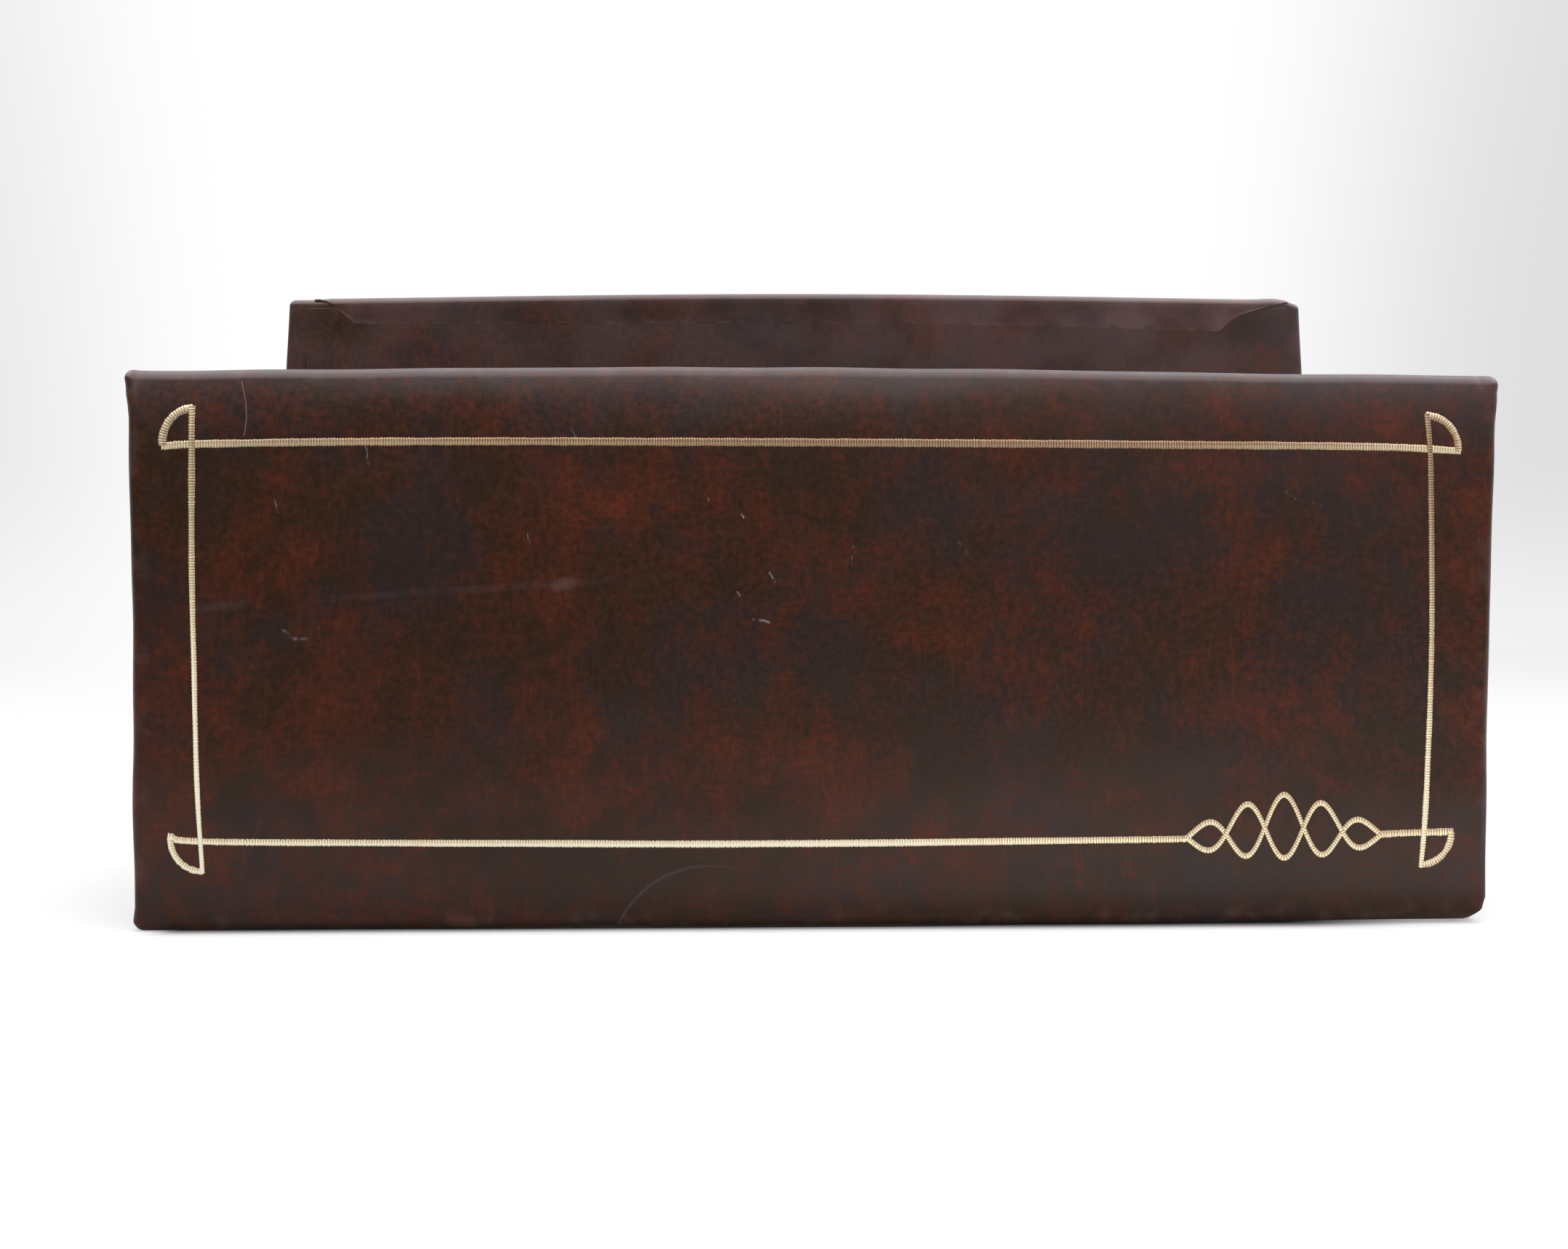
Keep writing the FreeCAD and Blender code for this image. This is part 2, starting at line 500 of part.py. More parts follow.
os.makedirs("parts", exist_ok=True)
for piece in PIECES:
    piece.Shape.exportStep("parts/%s.step" % piece.Label)
    print("%-22s %6.0f mm3, solids: %d" % (piece.Label, piece.Shape.Volume, len(piece.Shape.Solids)))
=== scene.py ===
"""Looks of the envelope sorter with a drawer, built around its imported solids.

The object's lengths are in millimetres, and become metres where a mesh, a texture or the camera is made.
The lamps and the table are placed in metres.
"""

import json
import math

import bpy
import numpy as np
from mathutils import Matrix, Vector

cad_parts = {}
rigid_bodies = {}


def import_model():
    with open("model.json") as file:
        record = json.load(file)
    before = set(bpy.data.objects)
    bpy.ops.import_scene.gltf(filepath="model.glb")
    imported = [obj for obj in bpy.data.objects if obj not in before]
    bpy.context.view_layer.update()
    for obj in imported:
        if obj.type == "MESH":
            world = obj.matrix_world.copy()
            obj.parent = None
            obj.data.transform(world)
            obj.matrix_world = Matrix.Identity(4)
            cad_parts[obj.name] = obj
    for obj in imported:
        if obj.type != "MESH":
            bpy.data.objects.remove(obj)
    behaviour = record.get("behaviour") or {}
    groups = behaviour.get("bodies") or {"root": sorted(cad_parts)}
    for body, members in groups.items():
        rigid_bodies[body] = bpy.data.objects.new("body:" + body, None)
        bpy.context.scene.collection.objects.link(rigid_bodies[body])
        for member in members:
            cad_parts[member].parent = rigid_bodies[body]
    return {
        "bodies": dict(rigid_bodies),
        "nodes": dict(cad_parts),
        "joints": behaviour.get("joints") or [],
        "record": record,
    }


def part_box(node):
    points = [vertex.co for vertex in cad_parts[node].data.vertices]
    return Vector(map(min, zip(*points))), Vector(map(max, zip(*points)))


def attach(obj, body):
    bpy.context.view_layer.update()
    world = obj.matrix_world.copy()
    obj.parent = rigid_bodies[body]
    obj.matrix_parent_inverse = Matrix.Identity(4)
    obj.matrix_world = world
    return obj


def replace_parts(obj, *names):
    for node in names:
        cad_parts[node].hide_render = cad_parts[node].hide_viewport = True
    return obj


MM = 0.001

# Front panel: how its wrapped, padded board differs from the plain solid
FRONT_EDGE_RADIUS = 2.1
FRONT_FOOT = 0.04
FRONT_CROWN_HEIGHT = 1.35
FACE_CROWN = 0.3
TOP_ROLL_HEIGHT = 12.0
TOP_ROLL_DEPTH = 1.0
FOOT_ROLL_HEIGHT = 6.0
FOOT_ROLL_DEPTH = 0.7
CRUSHED_CORNER = (2.8, 2.4)
SURFACE_WAVE = 0.09
EDGE_WAVE = 0.09

# Back panel
BACK_EDGE_RADIUS = 1.6
BACK_CROWN_HEIGHT = 1.6
FLAP_THICKNESS = 0.35
FLAP_STEPS = 6
DUST_AND_SHEEN_PLACES = (-125, -20, 60, 125)

# Gold foil lines
LINE_HEIGHT = 0.06
OVERLAP_LIFT = 0.1
SCROLL_LOBES = 5
SCROLL_WIDTH = 0.95
SCROLL_BURNISH_AND_SHEEN = 0.75
THREAD_PITCH = 0.52
THREAD_SCALE = 0.314 / THREAD_PITCH
THREAD_SHIFT = 37.0

# Side walls, dividers and base; the felt lies back from the front edge along its length: x, then mm
SIDE_RISE = 24.0
SIDE_TURN_IN = 12.0
DIVIDER_CORNER = 5.0
BASE_CORNER = 5.0
FELT_SETBACK = ((-127, -110, -60, 20, 60, 110, 127), (0, 0, -1.4, -1.4, 0.6, 2.0, 2.6))
BOARD_BEVEL = 0.25

# The camera in mm. The table in metres: its size, where its near end is painted dark for the gloss, where it
# is seen from, and the object's foot on it, along which a shadow is painted. Light as a strength.
CAMERA_PLACE = (-14.16, -304.14, 58.3)
CAMERA_TURN = 1.65
PHOTO_WIDTH = 2156
FOCAL_PIXELS = 1857
SENSOR_WIDTH = 36.0
FLOOR_SIZE = 6.0
TABLE_END = (-0.16, -0.45)
TABLE_GLOW = 0.34
TABLE_VIEWPOINT = (-0.014, -0.304)
FOOT_HALF_DEPTH = 0.0445
FOOT_LEFT = (-0.129, -0.121)
FOOT_RIGHT = (0.09, 0.125)
AMBIENT = 0.7
GLOSS_BEHIND = 0.75
GLOSS_ABOVE = 8.2
GLOSS_RIGHT = 1.8
GLOSS_TINT = (0.97, 0.95, 1.02, 1)

CLOUD_AREA = 550.0
LATTICE_STEP = 2.4
EDGE_STEPS = 4
CORNER_STEP = 0.6
SHARP_ANGLE = math.radians(38)


def start():
    """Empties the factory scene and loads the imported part."""
    for thing in list(bpy.data.objects):
        bpy.data.objects.remove(thing)
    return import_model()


def span(node):
    """The lowest and highest corners of a CAD node, in mm."""
    low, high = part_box(node)
    return np.array(low) / MM, np.array(high) / MM


def ease(value, start_at, end_at):
    """0 before start_at, 1 after end_at, and a smooth rise between them."""
    part = np.clip((value - start_at) / (end_at - start_at), 0, 1)
    return part * part * (3 - 2 * part)


def hump(value, centre, width):
    """A smooth bump 1 high."""
    return np.exp(-(((value - centre) / width) ** 2))


def waves(along, across, size, seed, count=5):
    """Smooth uneven waves about 1 high and about size apart."""
    random = np.random.default_rng(seed)
    total = np.zeros_like(along)
    for _ in range(count):
        angle, phase = random.uniform(0, math.pi), random.uniform(0, 2 * math.pi)
        pitch = size * random.uniform(0.7, 1.4)
        flow = along * math.cos(angle) + across * math.sin(angle)
        total += np.sin(flow * 2 * math.pi / pitch + phase)
    return total / math.sqrt(count)


# ---- meshes


def linked(name, data):
    """A new object in the scene."""
    thing = bpy.data.objects.new(name, data)
    bpy.context.scene.collection.objects.link(thing)
    return thing


def piece(name, body, slot, material, points, faces, **labels):
    """A smooth mesh object from points in mm, with a float label for each point, riding on a body."""
    mesh = bpy.data.meshes.new(name)
    mesh.from_pydata((np.asarray(points) * MM).tolist(), [], [list(face) for face in faces])
    for label, values in labels.items():
        attribute = mesh.attributes.new(label, "FLOAT", "POINT")
        attribute.data.foreach_set("value", np.asarray(values, np.float32).ravel())
    mesh.shade_smooth()
    mesh.set_sharp_from_angle(angle=SHARP_ANGLE)
    mesh.materials.append(material)
    thing = linked(name, mesh)
    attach(thing, body)
    return thing


def leather_piece(finish, name, points, faces, body="case", look="leather", **labels):
    return piece(name, body, "leatherette", finish[look], points, faces, **labels)


def places(low, high, radius, extra, step):
    """Lattice places along one side of a box: closer over its two rounded edges, and each extra place."""
    turn = np.tan(np.linspace(math.pi / 4, 0, EDGE_STEPS + 1))
    count = max(1, math.ceil((high - low - 2 * radius) / step))
    middle = np.linspace(low + radius, high - radius, count + 1)
    found = np.sort(np.concatenate([low + radius * (1 - turn), middle, high - radius * (1 - turn), extra]))
    return found[np.concatenate([[True], np.diff(found) > 1e-4])]


def box_lattice(sides):
    """The points and outward quads of a lattice over a closed box."""
    shape = [len(side) for side in sides]
    outer = np.ones(shape, bool)
    outer[1:-1, 1:-1, 1:-1] = False
    number = np.full(shape, -1)
    number[outer] = np.arange(outer.sum())
    points = np.stack(np.meshgrid(*sides, indexing="ij"), -1)[outer]
    quads = []
    for axis in range(3):
        for end in (0, -1):
            sheet = np.take(number, end, axis)
            quad = np.stack([sheet[:-1, :-1], sheet[1:, :-1], sheet[1:, 1:], sheet[:-1, 1:]], -1)
            outward = (end == -1) != (axis == 1)
            quads.append(quad.reshape(-1, 4)[:, :: 1 if outward else -1])
    return points, np.concatenate(quads)


def soft_box(low, high, radius, extra=((), (), ()), step=LATTICE_STEP):
    """A closed box with rounded edges: points, quads, and how near each point is to an edge (0 to 1)."""
    low, high = np.asarray(low, float), np.asarray(high, float)
    sides = [places(low[i], high[i], radius, np.asarray(extra[i], float), step) for i in range(3)]
    points, quads = box_lattice(sides)
    core = np.clip(points, low + radius, high - radius)
    away = points - core
    points = core + away * (radius / np.linalg.norm(away, axis=1, keepdims=True))
    depth = np.sort(np.minimum(points - low, high - points), axis=1)[:, 1]
    return points, quads, np.clip(1 - depth / (2.2 * radius), 0, 1)


def step_at(*steps):
    """Lattice places on both sides of each sudden step in a surface."""
    return [place + gap for place in steps for gap in (-0.3, 0.3)]


def swept(rings):
    """A closed body through rings that have equally many points."""
    count, around = rings.shape[:2]
    at = np.arange(count * around).reshape(count, around)
    near, far = at[:-1], at[1:]
    walls = np.stack([near, np.roll(near, -1, 1), np.roll(far, -1, 1), far], -1)
    return rings.reshape(-1, 3), walls.reshape(-1, 4).tolist() + [at[0][::-1].tolist(), at[-1].tolist()]


def round_corners(across, up, low, high, radius):
    """Bends a sheet's two upper corners from square to round."""
    core_across = np.clip(across, low[0] + radius, high[0] - radius)
    core_up = np.minimum(up, high[1] - radius)
    away = np.stack([across - core_across, up - core_up])
    square = np.abs(away).max(0)
    reach = np.hypot(*away)
    scale = np.divide(square, reach, out=np.ones_like(reach), where=reach > 1e-6)
    return core_across + away[0] * scale, core_up + away[1] * scale


def turned(profile, centre, sides=72):
    """A closed body turned about a line along X, from (x, radius) points."""
    angles = np.linspace(0, 2 * math.pi, sides, endpoint=False)
    rings = [
        np.stack([np.full(sides, x), centre[0] + r * np.cos(angles), centre[1] + r * np.sin(angles)], -1)
        for x, r in profile
    ]
    return swept(np.array(rings))


# ---- materials


def srgb(red, green, blue):
    """A display colour, 0 to 255, as linear RGBA."""
    linear = [
        c / 12.92 if c <= 0.04045 else ((c + 0.055) / 1.055) ** 2.4
        for c in (red / 255, green / 255, blue / 255)
    ]
    return (*linear, 1.0)


class Nodes:
    """A node tree. The method add returns a new node, and those after feed the socket to use next."""

    def __init__(self, tree):
        self.tree = tree

    def add(self, kind, values=(), **settings):
        node = self.tree.nodes.new(kind)
        for label, value in settings.items():
            setattr(node, label, value)
        for socket, value in dict(values).items():
            self.feed(node.inputs[socket], value)
        return node

    def feed(self, socket, value):
        """Links a socket, or sets it to a constant."""
        if isinstance(value, bpy.types.NodeSocket):
            self.tree.links.new(value, socket)
        else:
            socket.default_value = value

    def math(self, operation, first, second=0.0, clamp=False):
        node = self.add("ShaderNodeMath", {0: first, 1: second}, operation=operation, use_clamp=clamp)
        return node.outputs[0]

    def times(self, first, second):
        return self.math("MULTIPLY", first, second)

    def plus(self, first, second):
        return self.math("ADD", first, second)

    def less(self, first, second):
        return self.math("SUBTRACT", first, second)

    def larger(self, first, second):
        return self.math("MAXIMUM", first, second)

    def vector(self, operation, first, second=(0, 0, 0)):
        """Vector maths. DISTANCE, DOT_PRODUCT and LENGTH give a number."""
        node = self.add("ShaderNodeVectorMath", {0: first, 1: second}, operation=operation)
        return node.outputs["Value" if operation in ("DISTANCE", "DOT_PRODUCT", "LENGTH") else "Vector"]

    def between(self, value, low, high, least=0.0, most=1.0):
        """Maps low..high to least..most with a smooth step."""
        return self.add(
            "ShaderNodeMapRange",
            {"Value": value, "From Min": low, "From Max": high, "To Min": least, "To Max": most},
            interpolation_type="SMOOTHSTEP",
        ).outputs[0]

    def mix(self, share, first, second):
        return self.add("ShaderNodeMix", {"Factor": share, 6: first, 7: second}, data_type="RGBA").outputs[2]


class Paint(Nodes):
    """One node material, its colour laid on in coats."""

    def __init__(self, name, colour=None, **sockets):
        self.colour = colour
        self.material = bpy.data.materials.new(name)
        self.material.use_nodes = True
        super().__init__(self.material.node_tree)
        self.shader = self.tree.nodes["Principled BSDF"]
        self.place = self.add("ShaderNodeTexCoord").outputs["Object"]
        for label, value in sockets.items():
            self.give(label.replace("_", " "), value)

    def give(self, label, value):
        self.feed(self.shader.inputs[label], value)

    def coat(self, share, colour):
        """Lays a share of a colour over the colours before it."""
        self.colour = self.mix(share, self.colour, colour)
        self.give("Base Color", self.colour)

    def scaled(self, size, stretch=(1, 1, 1), shift=0.0):
        """The object's own place in units of size mm, drawn out by stretch."""
        scale = [1 / (size * MM * part) for part in stretch]
        return self.add(
            "ShaderNodeMapping",
            {"Vector": self.place, "Scale": scale, "Location": (shift, shift * 0.7, shift * 1.3)},
        ).outputs[0]

    def noise(self, size, detail=2, roughness=0.5, stretch=(1, 1, 1), shift=0, distortion=0, output="Fac"):
        values = {"Vector": self.scaled(size, stretch, shift), "Scale": 1.0, "Detail": detail}
        values |= {"Roughness": roughness, "Distortion": distortion}
        return self.add("ShaderNodeTexNoise", values).outputs[output]

    def total(self, *terms):
        """The sum of (socket, share) pairs."""
        found = None
        for socket, share in terms:
            part = self.times(socket, share)
            found = part if found is None else self.plus(found, part)
        return found

    def label(self, name):
        return self.add("ShaderNodeAttribute", attribute_name=name).outputs["Fac"]

    def bumps(self, *layers):
        """Bumps in the surface from (height socket, depth in mm) pairs."""
        normal = None
        for height, depth in layers:
            values = {"Height": height, "Distance": depth * MM, "Strength": 1.0}
            if normal is not None:
                values["Normal"] = normal
            normal = self.add("ShaderNodeBump", values).outputs[0]
        self.give("Normal", normal)


# Old knocks on the front panel: from x, z, to x, z, half width, strength
SPECKS = (
    (-14.8, 79.6, -14.4, 78.8, 0.28, 0.75), (-9.4, 68.4, -8.5, 66.5, 0.26, 0.7),
    (-15.7, 64.5, -15.2, 63.8, 0.24, 0.6), (-12.6, 59.4, -9.6, 58.8, 0.26, 0.65),
    (6.6, 73.2, 6.2, 69.4, 0.22, 0.4), (-21.5, 82.5, -21.2, 82.0, 0.22, 0.5),
    (19.8, 78.4, 20.2, 77.3, 0.22, 0.35), (27.0, 74.0, 28.3, 71.8, 0.5, 0.18),
    (-101.6, 57.3, -99.6, 55.6, 0.34, 0.22), (-99.6, 55.6, -96.4, 55.8, 0.36, 0.3),
    (-96.4, 55.8, -94.9, 57.6, 0.3, 0.2), (90.0, 84.2, 92.4, 82.6, 0.32, 0.18),
    (95.6, 82.0, 98.0, 81.2, 0.3, 0.16), (-86.0, 92.0, -85.6, 89.0, 0.22, 0.3),
    (-47.4, 96.6, -46.6, 94.0, 0.22, 0.35), (-55.4, 75.4, -55.0, 73.4, 0.22, 0.3),
    (-103.2, 82.0, -102.6, 79.6, 0.22, 0.3),
)
SCRATCHES = (
    (-109.6, 104.4, -108.7, 100.6, 0.11, 0.42),
    (-108.7, 100.6, -108.5, 97.4, 0.11, 0.42),
    (-108.5, 97.4, -108.9, 94.0, 0.11, 0.42),
)
STREAK = (-118.0, 61.4, -28.0, 67.6, 1.1, 0.038)
STREAK_BLOB = (-50.0, 65.8, -47.5, 66.2, 1.8, 0.1)
SCUFF_CENTRE = (-21.0, 0, -6.8)
SCUFF_RADIUS = 19.0
SCUFF_STRENGTH = 0.075


def mark(paint, place, start_x, start_z, end_x, end_z, width, strength):
    """How strongly a stroke between two points of the XZ plane marks the surface."""
    first = np.array([start_x, 0, start_z]) * MM
    run = np.array([end_x, 0, end_z]) * MM - first
    offset = paint.vector("SUBTRACT", place, first)
    share = paint.vector("DOT_PRODUCT", offset, run / run.dot(run))
    along = paint.math("ADD", share, 0.0, clamp=True)
    gap = paint.vector("DISTANCE", offset, paint.vector("MULTIPLY", run, along))
    return paint.between(gap, 0.35 * width * MM, width * MM, strength, 0.0)


def scuff(paint, place):
    """The faint curved scuff at the panel's foot: part of a circle that fades out to its right."""
    away = paint.vector("DISTANCE", place, np.array(SCUFF_CENTRE) * MM)
    gap = paint.math("ABSOLUTE", paint.less(away, SCUFF_RADIUS * MM))
    ring = paint.between(gap, 0.05 * MM, 0.45 * MM, SCUFF_STRENGTH, 0.0)
    side = paint.add("ShaderNodeSeparateXYZ", {0: place}).outputs[0]
    return paint.times(ring, paint.between(side, -28 * MM, -11 * MM, 1.0, 0.0))


def knocks(paint):
    """The specks, the scratch, the curved scuff and the long faint streak of the front panel."""
    flat = paint.vector("MULTIPLY", paint.place, (1, 0, 1))
    shake = paint.vector("SUBTRACT", paint.noise(1.6, output="Color"), (0.5, 0.5, 0.5))
    place = paint.vector("ADD", flat, paint.vector("MULTIPLY", shake, (MM, 0, MM)))
    specks = mark(paint, place, *SPECKS[0])
    for row in SPECKS[1:]:
        specks = paint.larger(specks, mark(paint, place, *row))
    broken = paint.between(paint.noise(1.9, detail=4, roughness=0.7, shift=9), 0.4, 0.6, 0.0, 0.85)
    specks = paint.times(specks, broken)
    for row in SCRATCHES:
        specks = paint.larger(specks, mark(paint, flat, *row))
    streak = paint.larger(mark(paint, flat, *STREAK), mark(paint, flat, *STREAK_BLOB))
    patchy = paint.between(paint.noise(7, detail=4, roughness=0.6, stretch=(2, 1, 1), shift=4), 0.4, 0.68)
    streak = paint.larger(paint.times(streak, patchy), scuff(paint, flat))
    return paint.larger(specks, streak)


DARK_BROWN = srgb(43, 27, 14)
PURPLE_BROWN = srgb(41, 29, 26)
RUST = srgb(68, 30, 14)
RUST_BRIGHT = srgb(94, 38, 14)
FIBRE_DARK = srgb(32, 21, 15)
WORN = srgb(122, 104, 98)
KNOCKED = srgb(150, 140, 142)
BLOOM_AND_SHEEN = srgb(128, 104, 104)
CLOTH_BROWN = srgb(82, 58, 42)


def leatherette(name, knocked=False):
    """Mottled brown bookbinder's cloth: dark clouds, rust blots, upright veins and a fine woven stipple."""
    paint = Paint(name, DARK_BROWN, Specular_IOR_Level=0.2)
    clouds = paint.noise(22, detail=3, roughness=0.6, distortion=0.6)
    blots = paint.noise(5.5, detail=5, roughness=0.74, stretch=(1, 1, 1.15), shift=3, distortion=0.3)
    veins = paint.noise(2.6, detail=4, roughness=0.7, stretch=(1, 1, 3.5), shift=8, distortion=1.2)
    stipple = paint.noise(1.3, detail=3, roughness=0.8, shift=5)
    upright = paint.noise(0.5, detail=2, stretch=(1, 1, 7), shift=2)
    level = paint.noise(0.5, detail=2, stretch=(7, 7, 1), shift=6)
    rust = paint.total((clouds, 0.18), (blots, 0.4), (stipple, 0.42), (paint.label("rust"), 0.066))
    paint.coat(paint.between(paint.noise(20, detail=4, shift=11), 0.44, 0.6), PURPLE_BROWN)
    paint.coat(paint.between(rust, 0.44, 0.62), RUST)
    paint.coat(paint.between(rust, 0.56, 0.74), RUST_BRIGHT)
    vein = paint.times(paint.between(veins, 0.54, 0.74), paint.between(clouds, 0.42, 0.6))
    paint.coat(paint.times(vein, 0.5), RUST_BRIGHT)
    shade = paint.total((stipple, 0.4), (upright, 0.36), (level, 0.24))
    paint.coat(paint.between(shade, 0.4, 0.62, 0.0, 0.4), FIBRE_DARK)
    wear = paint.times(paint.label("edge"), paint.between(paint.noise(4, detail=3), 0.48, 0.7))
    paint.coat(paint.times(wear, 0.16), WORN)
    # A pale bloom where a label asks for it: partly dust, partly painted sheen and painted highlight
    dust_and_sheen = paint.between(paint.noise(16, detail=4, shift=21), 0.35, 0.65, 0.06, 0.15)
    paint.coat(paint.times(dust_and_sheen, paint.label("dust_and_sheen")), BLOOM_AND_SHEEN)
    if knocked:
        paint.coat(knocks(paint), KNOCKED)
    paint.give("Roughness", paint.between(stipple, 0.35, 0.65, 0.28, 0.38))
    paint.bumps((upright, 0.01), (level, 0.006), (stipple, 0.02))
    return paint.material


def lining_cloth():
    """Thin brown lining cloth: a plain weave that shows on faces of every direction."""
    paint = Paint("lining_cloth", CLOTH_BROWN, Roughness=0.85, Specular_IOR_Level=0.2, Sheen_Weight=0.15)
    weave = None
    for direction in "XYZ":
        wave = paint.add(
            "ShaderNodeTexWave",
            {"Vector": paint.scaled(2.4), "Scale": 1.0, "Distortion": 0.6, "Detail": 1.0},
            bands_direction=direction,
        ).outputs["Fac"]
        weave = wave if weave is None else paint.plus(weave, wave)
    tone = paint.total((paint.noise(18, detail=3), 0.7), (paint.noise(0.8, detail=2), 0.3))
    paint.coat(paint.between(tone, 0.4, 0.6), srgb(104, 76, 56))
    paint.coat(paint.between(weave, 0.6, 2.2, 0.35, 0.0), srgb(52, 36, 27))
    paint.bumps((weave, 0.035), (paint.noise(0.6, detail=2), 0.03))
    return paint.material


def fibrous(name, pale, dark, fleck, size, roughness=0.9):
    """Paper, chipboard or felt: cloudy tone, short fibres and a dusty bump."""
    paint = Paint(name, pale, Roughness=roughness, Specular_IOR_Level=0.18)
    clouds = paint.noise(size * 16, detail=4, roughness=0.6)
    fibres = paint.noise(size, detail=3, roughness=0.7, stretch=(4, 1.4, 1.0), shift=3, distortion=1.5)
    paint.coat(paint.between(clouds, 0.38, 0.64), dark)
    paint.coat(paint.between(fibres, 0.56, 0.72, 0.0, 0.6), fleck)
    paint.bumps((fibres, 0.06), (paint.noise(size * 0.7, detail=3, shift=8), 0.05))
    return paint.material


def gold_foil():
    """Pressed gold foil over thread-like ridges that cross each line, paler with burnish and painted sheen,
    with painted shade at its rims.
    """
    paint = Paint("gold_foil", Specular_IOR_Level=0.4)
    run = paint.add("ShaderNodeCombineXYZ", {0: paint.label("along"), 1: paint.label("across")}).outputs[0]
    ridge_place = paint.add("ShaderNodeMapping", {"Vector": run, "Scale": (1.4, 0.12, 1)}).outputs[0]
    uneven = paint.add(
        "ShaderNodeTexNoise", {"Vector": ridge_place, "Scale": 1.0, "Detail": 2.0, "Roughness": 0.6}
    ).outputs["Fac"]
    threads = paint.add(
        "ShaderNodeTexWave",
        {"Vector": run, "Scale": THREAD_SCALE, "Distortion": 1.2, "Detail": 1.0, "Detail Scale": 0.6},
        bands_direction="X",
    ).outputs["Fac"]
    ridges = paint.total((uneven, 0.62), (threads, 0.38))
    rubbed = paint.noise(9, detail=4, roughness=0.6)
    streak = paint.between(ridges, 0.36, 0.64)
    # Burnish and painted sheen: each line paler where listed, its brighter ends and lower lines standing in
    # for reflected light, one side of it painted darker and the other paler
    shine = paint.less(paint.label("shine"), paint.between(paint.label("across"), -0.4, 0.4, -0.16, 0.18))
    paint.colour = paint.mix(streak, srgb(92, 68, 50), srgb(164, 132, 98))
    paint.coat(shine, paint.mix(streak, srgb(180, 158, 116), srgb(243, 231, 198)))
    # A painted highlight where that label is highest
    paint.coat(paint.between(shine, 1.0, 1.5), srgb(240, 232, 208))
    # Painted shade: each raised line darker at both its rims
    painted_rim_shade = paint.between(paint.math("ABSOLUTE", paint.label("across")), 0.55, 1.0, 0.0, 0.5)
    paint.coat(painted_rim_shade, srgb(128, 104, 76))
    paint.coat(paint.between(rubbed, 0.58, 0.76, 0.0, 0.35), srgb(150, 112, 80))
    paint.give("Metallic", paint.between(shine, 0.9, 1.5, 0.5, 0.05))
    paint.give("Roughness", paint.between(ridges, 0.3, 0.7, 0.44, 0.32))
    paint.bumps((ridges, 0.05))
    return paint.material


def metal(name, colour, tarnish, roughness):
    """Turned metal: fine rings about its X axis, and tarnish in cloudy patches."""
    paint = Paint(name, colour, Metallic=1.0)
    rings = paint.noise(0.25, detail=2, stretch=(1, 60, 60))
    patches = paint.noise(5, detail=4, roughness=0.65)
    paint.coat(paint.between(patches, 0.5, 0.74, 0.0, 0.7), tarnish)
    paint.give("Roughness", paint.between(patches, 0.35, 0.75, roughness, roughness + 0.22))
    paint.bumps((rings, 0.006))
    return paint.material


def make_materials():
    return {
        "leather": leatherette("leatherette"),
        "front_leather": leatherette("leatherette_knocked", knocked=True),
        "lining": lining_cloth(),
        "paper": fibrous("drawer_paper", srgb(148, 120, 91), srgb(140, 112, 84), srgb(116, 90, 66), 0.9),
        "chipboard": fibrous("chipboard", srgb(146, 124, 98), srgb(134, 112, 87), srgb(104, 84, 62), 0.7),
        "felt": fibrous("felt", srgb(52, 46, 40), srgb(40, 35, 31), srgb(78, 70, 62), 0.4, 0.98),
        "gold": gold_foil(),
        "brass": metal("brass", srgb(196, 158, 92), srgb(112, 82, 46), 0.26),
        "steel": metal("steel", srgb(188, 188, 186), srgb(112, 104, 96), 0.3),
    }


# ---- front panel


# Where the front panel's rust and dark clouds lie: x, z, half width, half height
RUST_CLOUDS = (
    (-120, 45, 9, 10), (-102, 73, 7, 9), (-90, 45, 12, 13), (-69, 37, 3, 9), (-62, 67, 3, 7),
    (-48, 82, 6, 17), (-50, 51, 4, 20), (-57, 39, 3, 7), (-48, 28, 5, 9), (-36, 85, 8, 8),
    (-20, 31, 12, 10), (-12, 78, 8, 8), (10, 67, 12, 8), (-7, 60, 6, 6), (-3, 40, 9, 8), (4, 28, 14, 9),
    (33, 58, 13, 7), (48, 49, 10, 7), (39, 88, 8, 6), (79, 88, 10, 8), (85, 43, 12, 10),
    (99, 43, 3, 12), (84, 70, 10, 6), (127, 64, 5, 14), (-65, 100, 6, 4), (-81, 13, 9, 5),
    (79, 101, 9, 4), (-118, 20, 6, 8), (28, 16, 10, 6), (112, 96, 8, 6), (-128, 30, 9, 26),
    (130, 78, 7, 22), (130, 32, 7, 22), (-93, 28, 8, 7), (-111, 36, 5, 8),
)
DARK_CLOUDS = (
    (-120, 88, 8, 10), (99, 70, 8, 10), (24, 34, 12, 12), (9, 51, 10, 8), (-2, 90, 12, 7),
    (-75, 31, 5, 7), (62, 44, 9, 14), (-80, 74, 13, 12), (-30, 55, 8, 12), (58, 76, 12, 9),
    (-40, 12, 18, 6), (70, 9, 22, 5), (-103, 51, 6, 7), (-106, 23, 7, 6),
)


def front_tint(x, z):
    """1 in the middle of a rust cloud, -1 in the middle of a dark one."""
    x = x + 3 * waves(x, z, 15, 81)
    z = z + 3 * waves(x, z, 13, 82)
    total = np.zeros_like(x)
    for clouds, sign in ((RUST_CLOUDS, 1), (DARK_CLOUDS, -1)):
        for middle_x, middle_z, half_width, half_height in clouds:
            total += sign * hump(x, middle_x, half_width) * hump(z, middle_z, half_height)
    return np.clip(total, -1, 1)


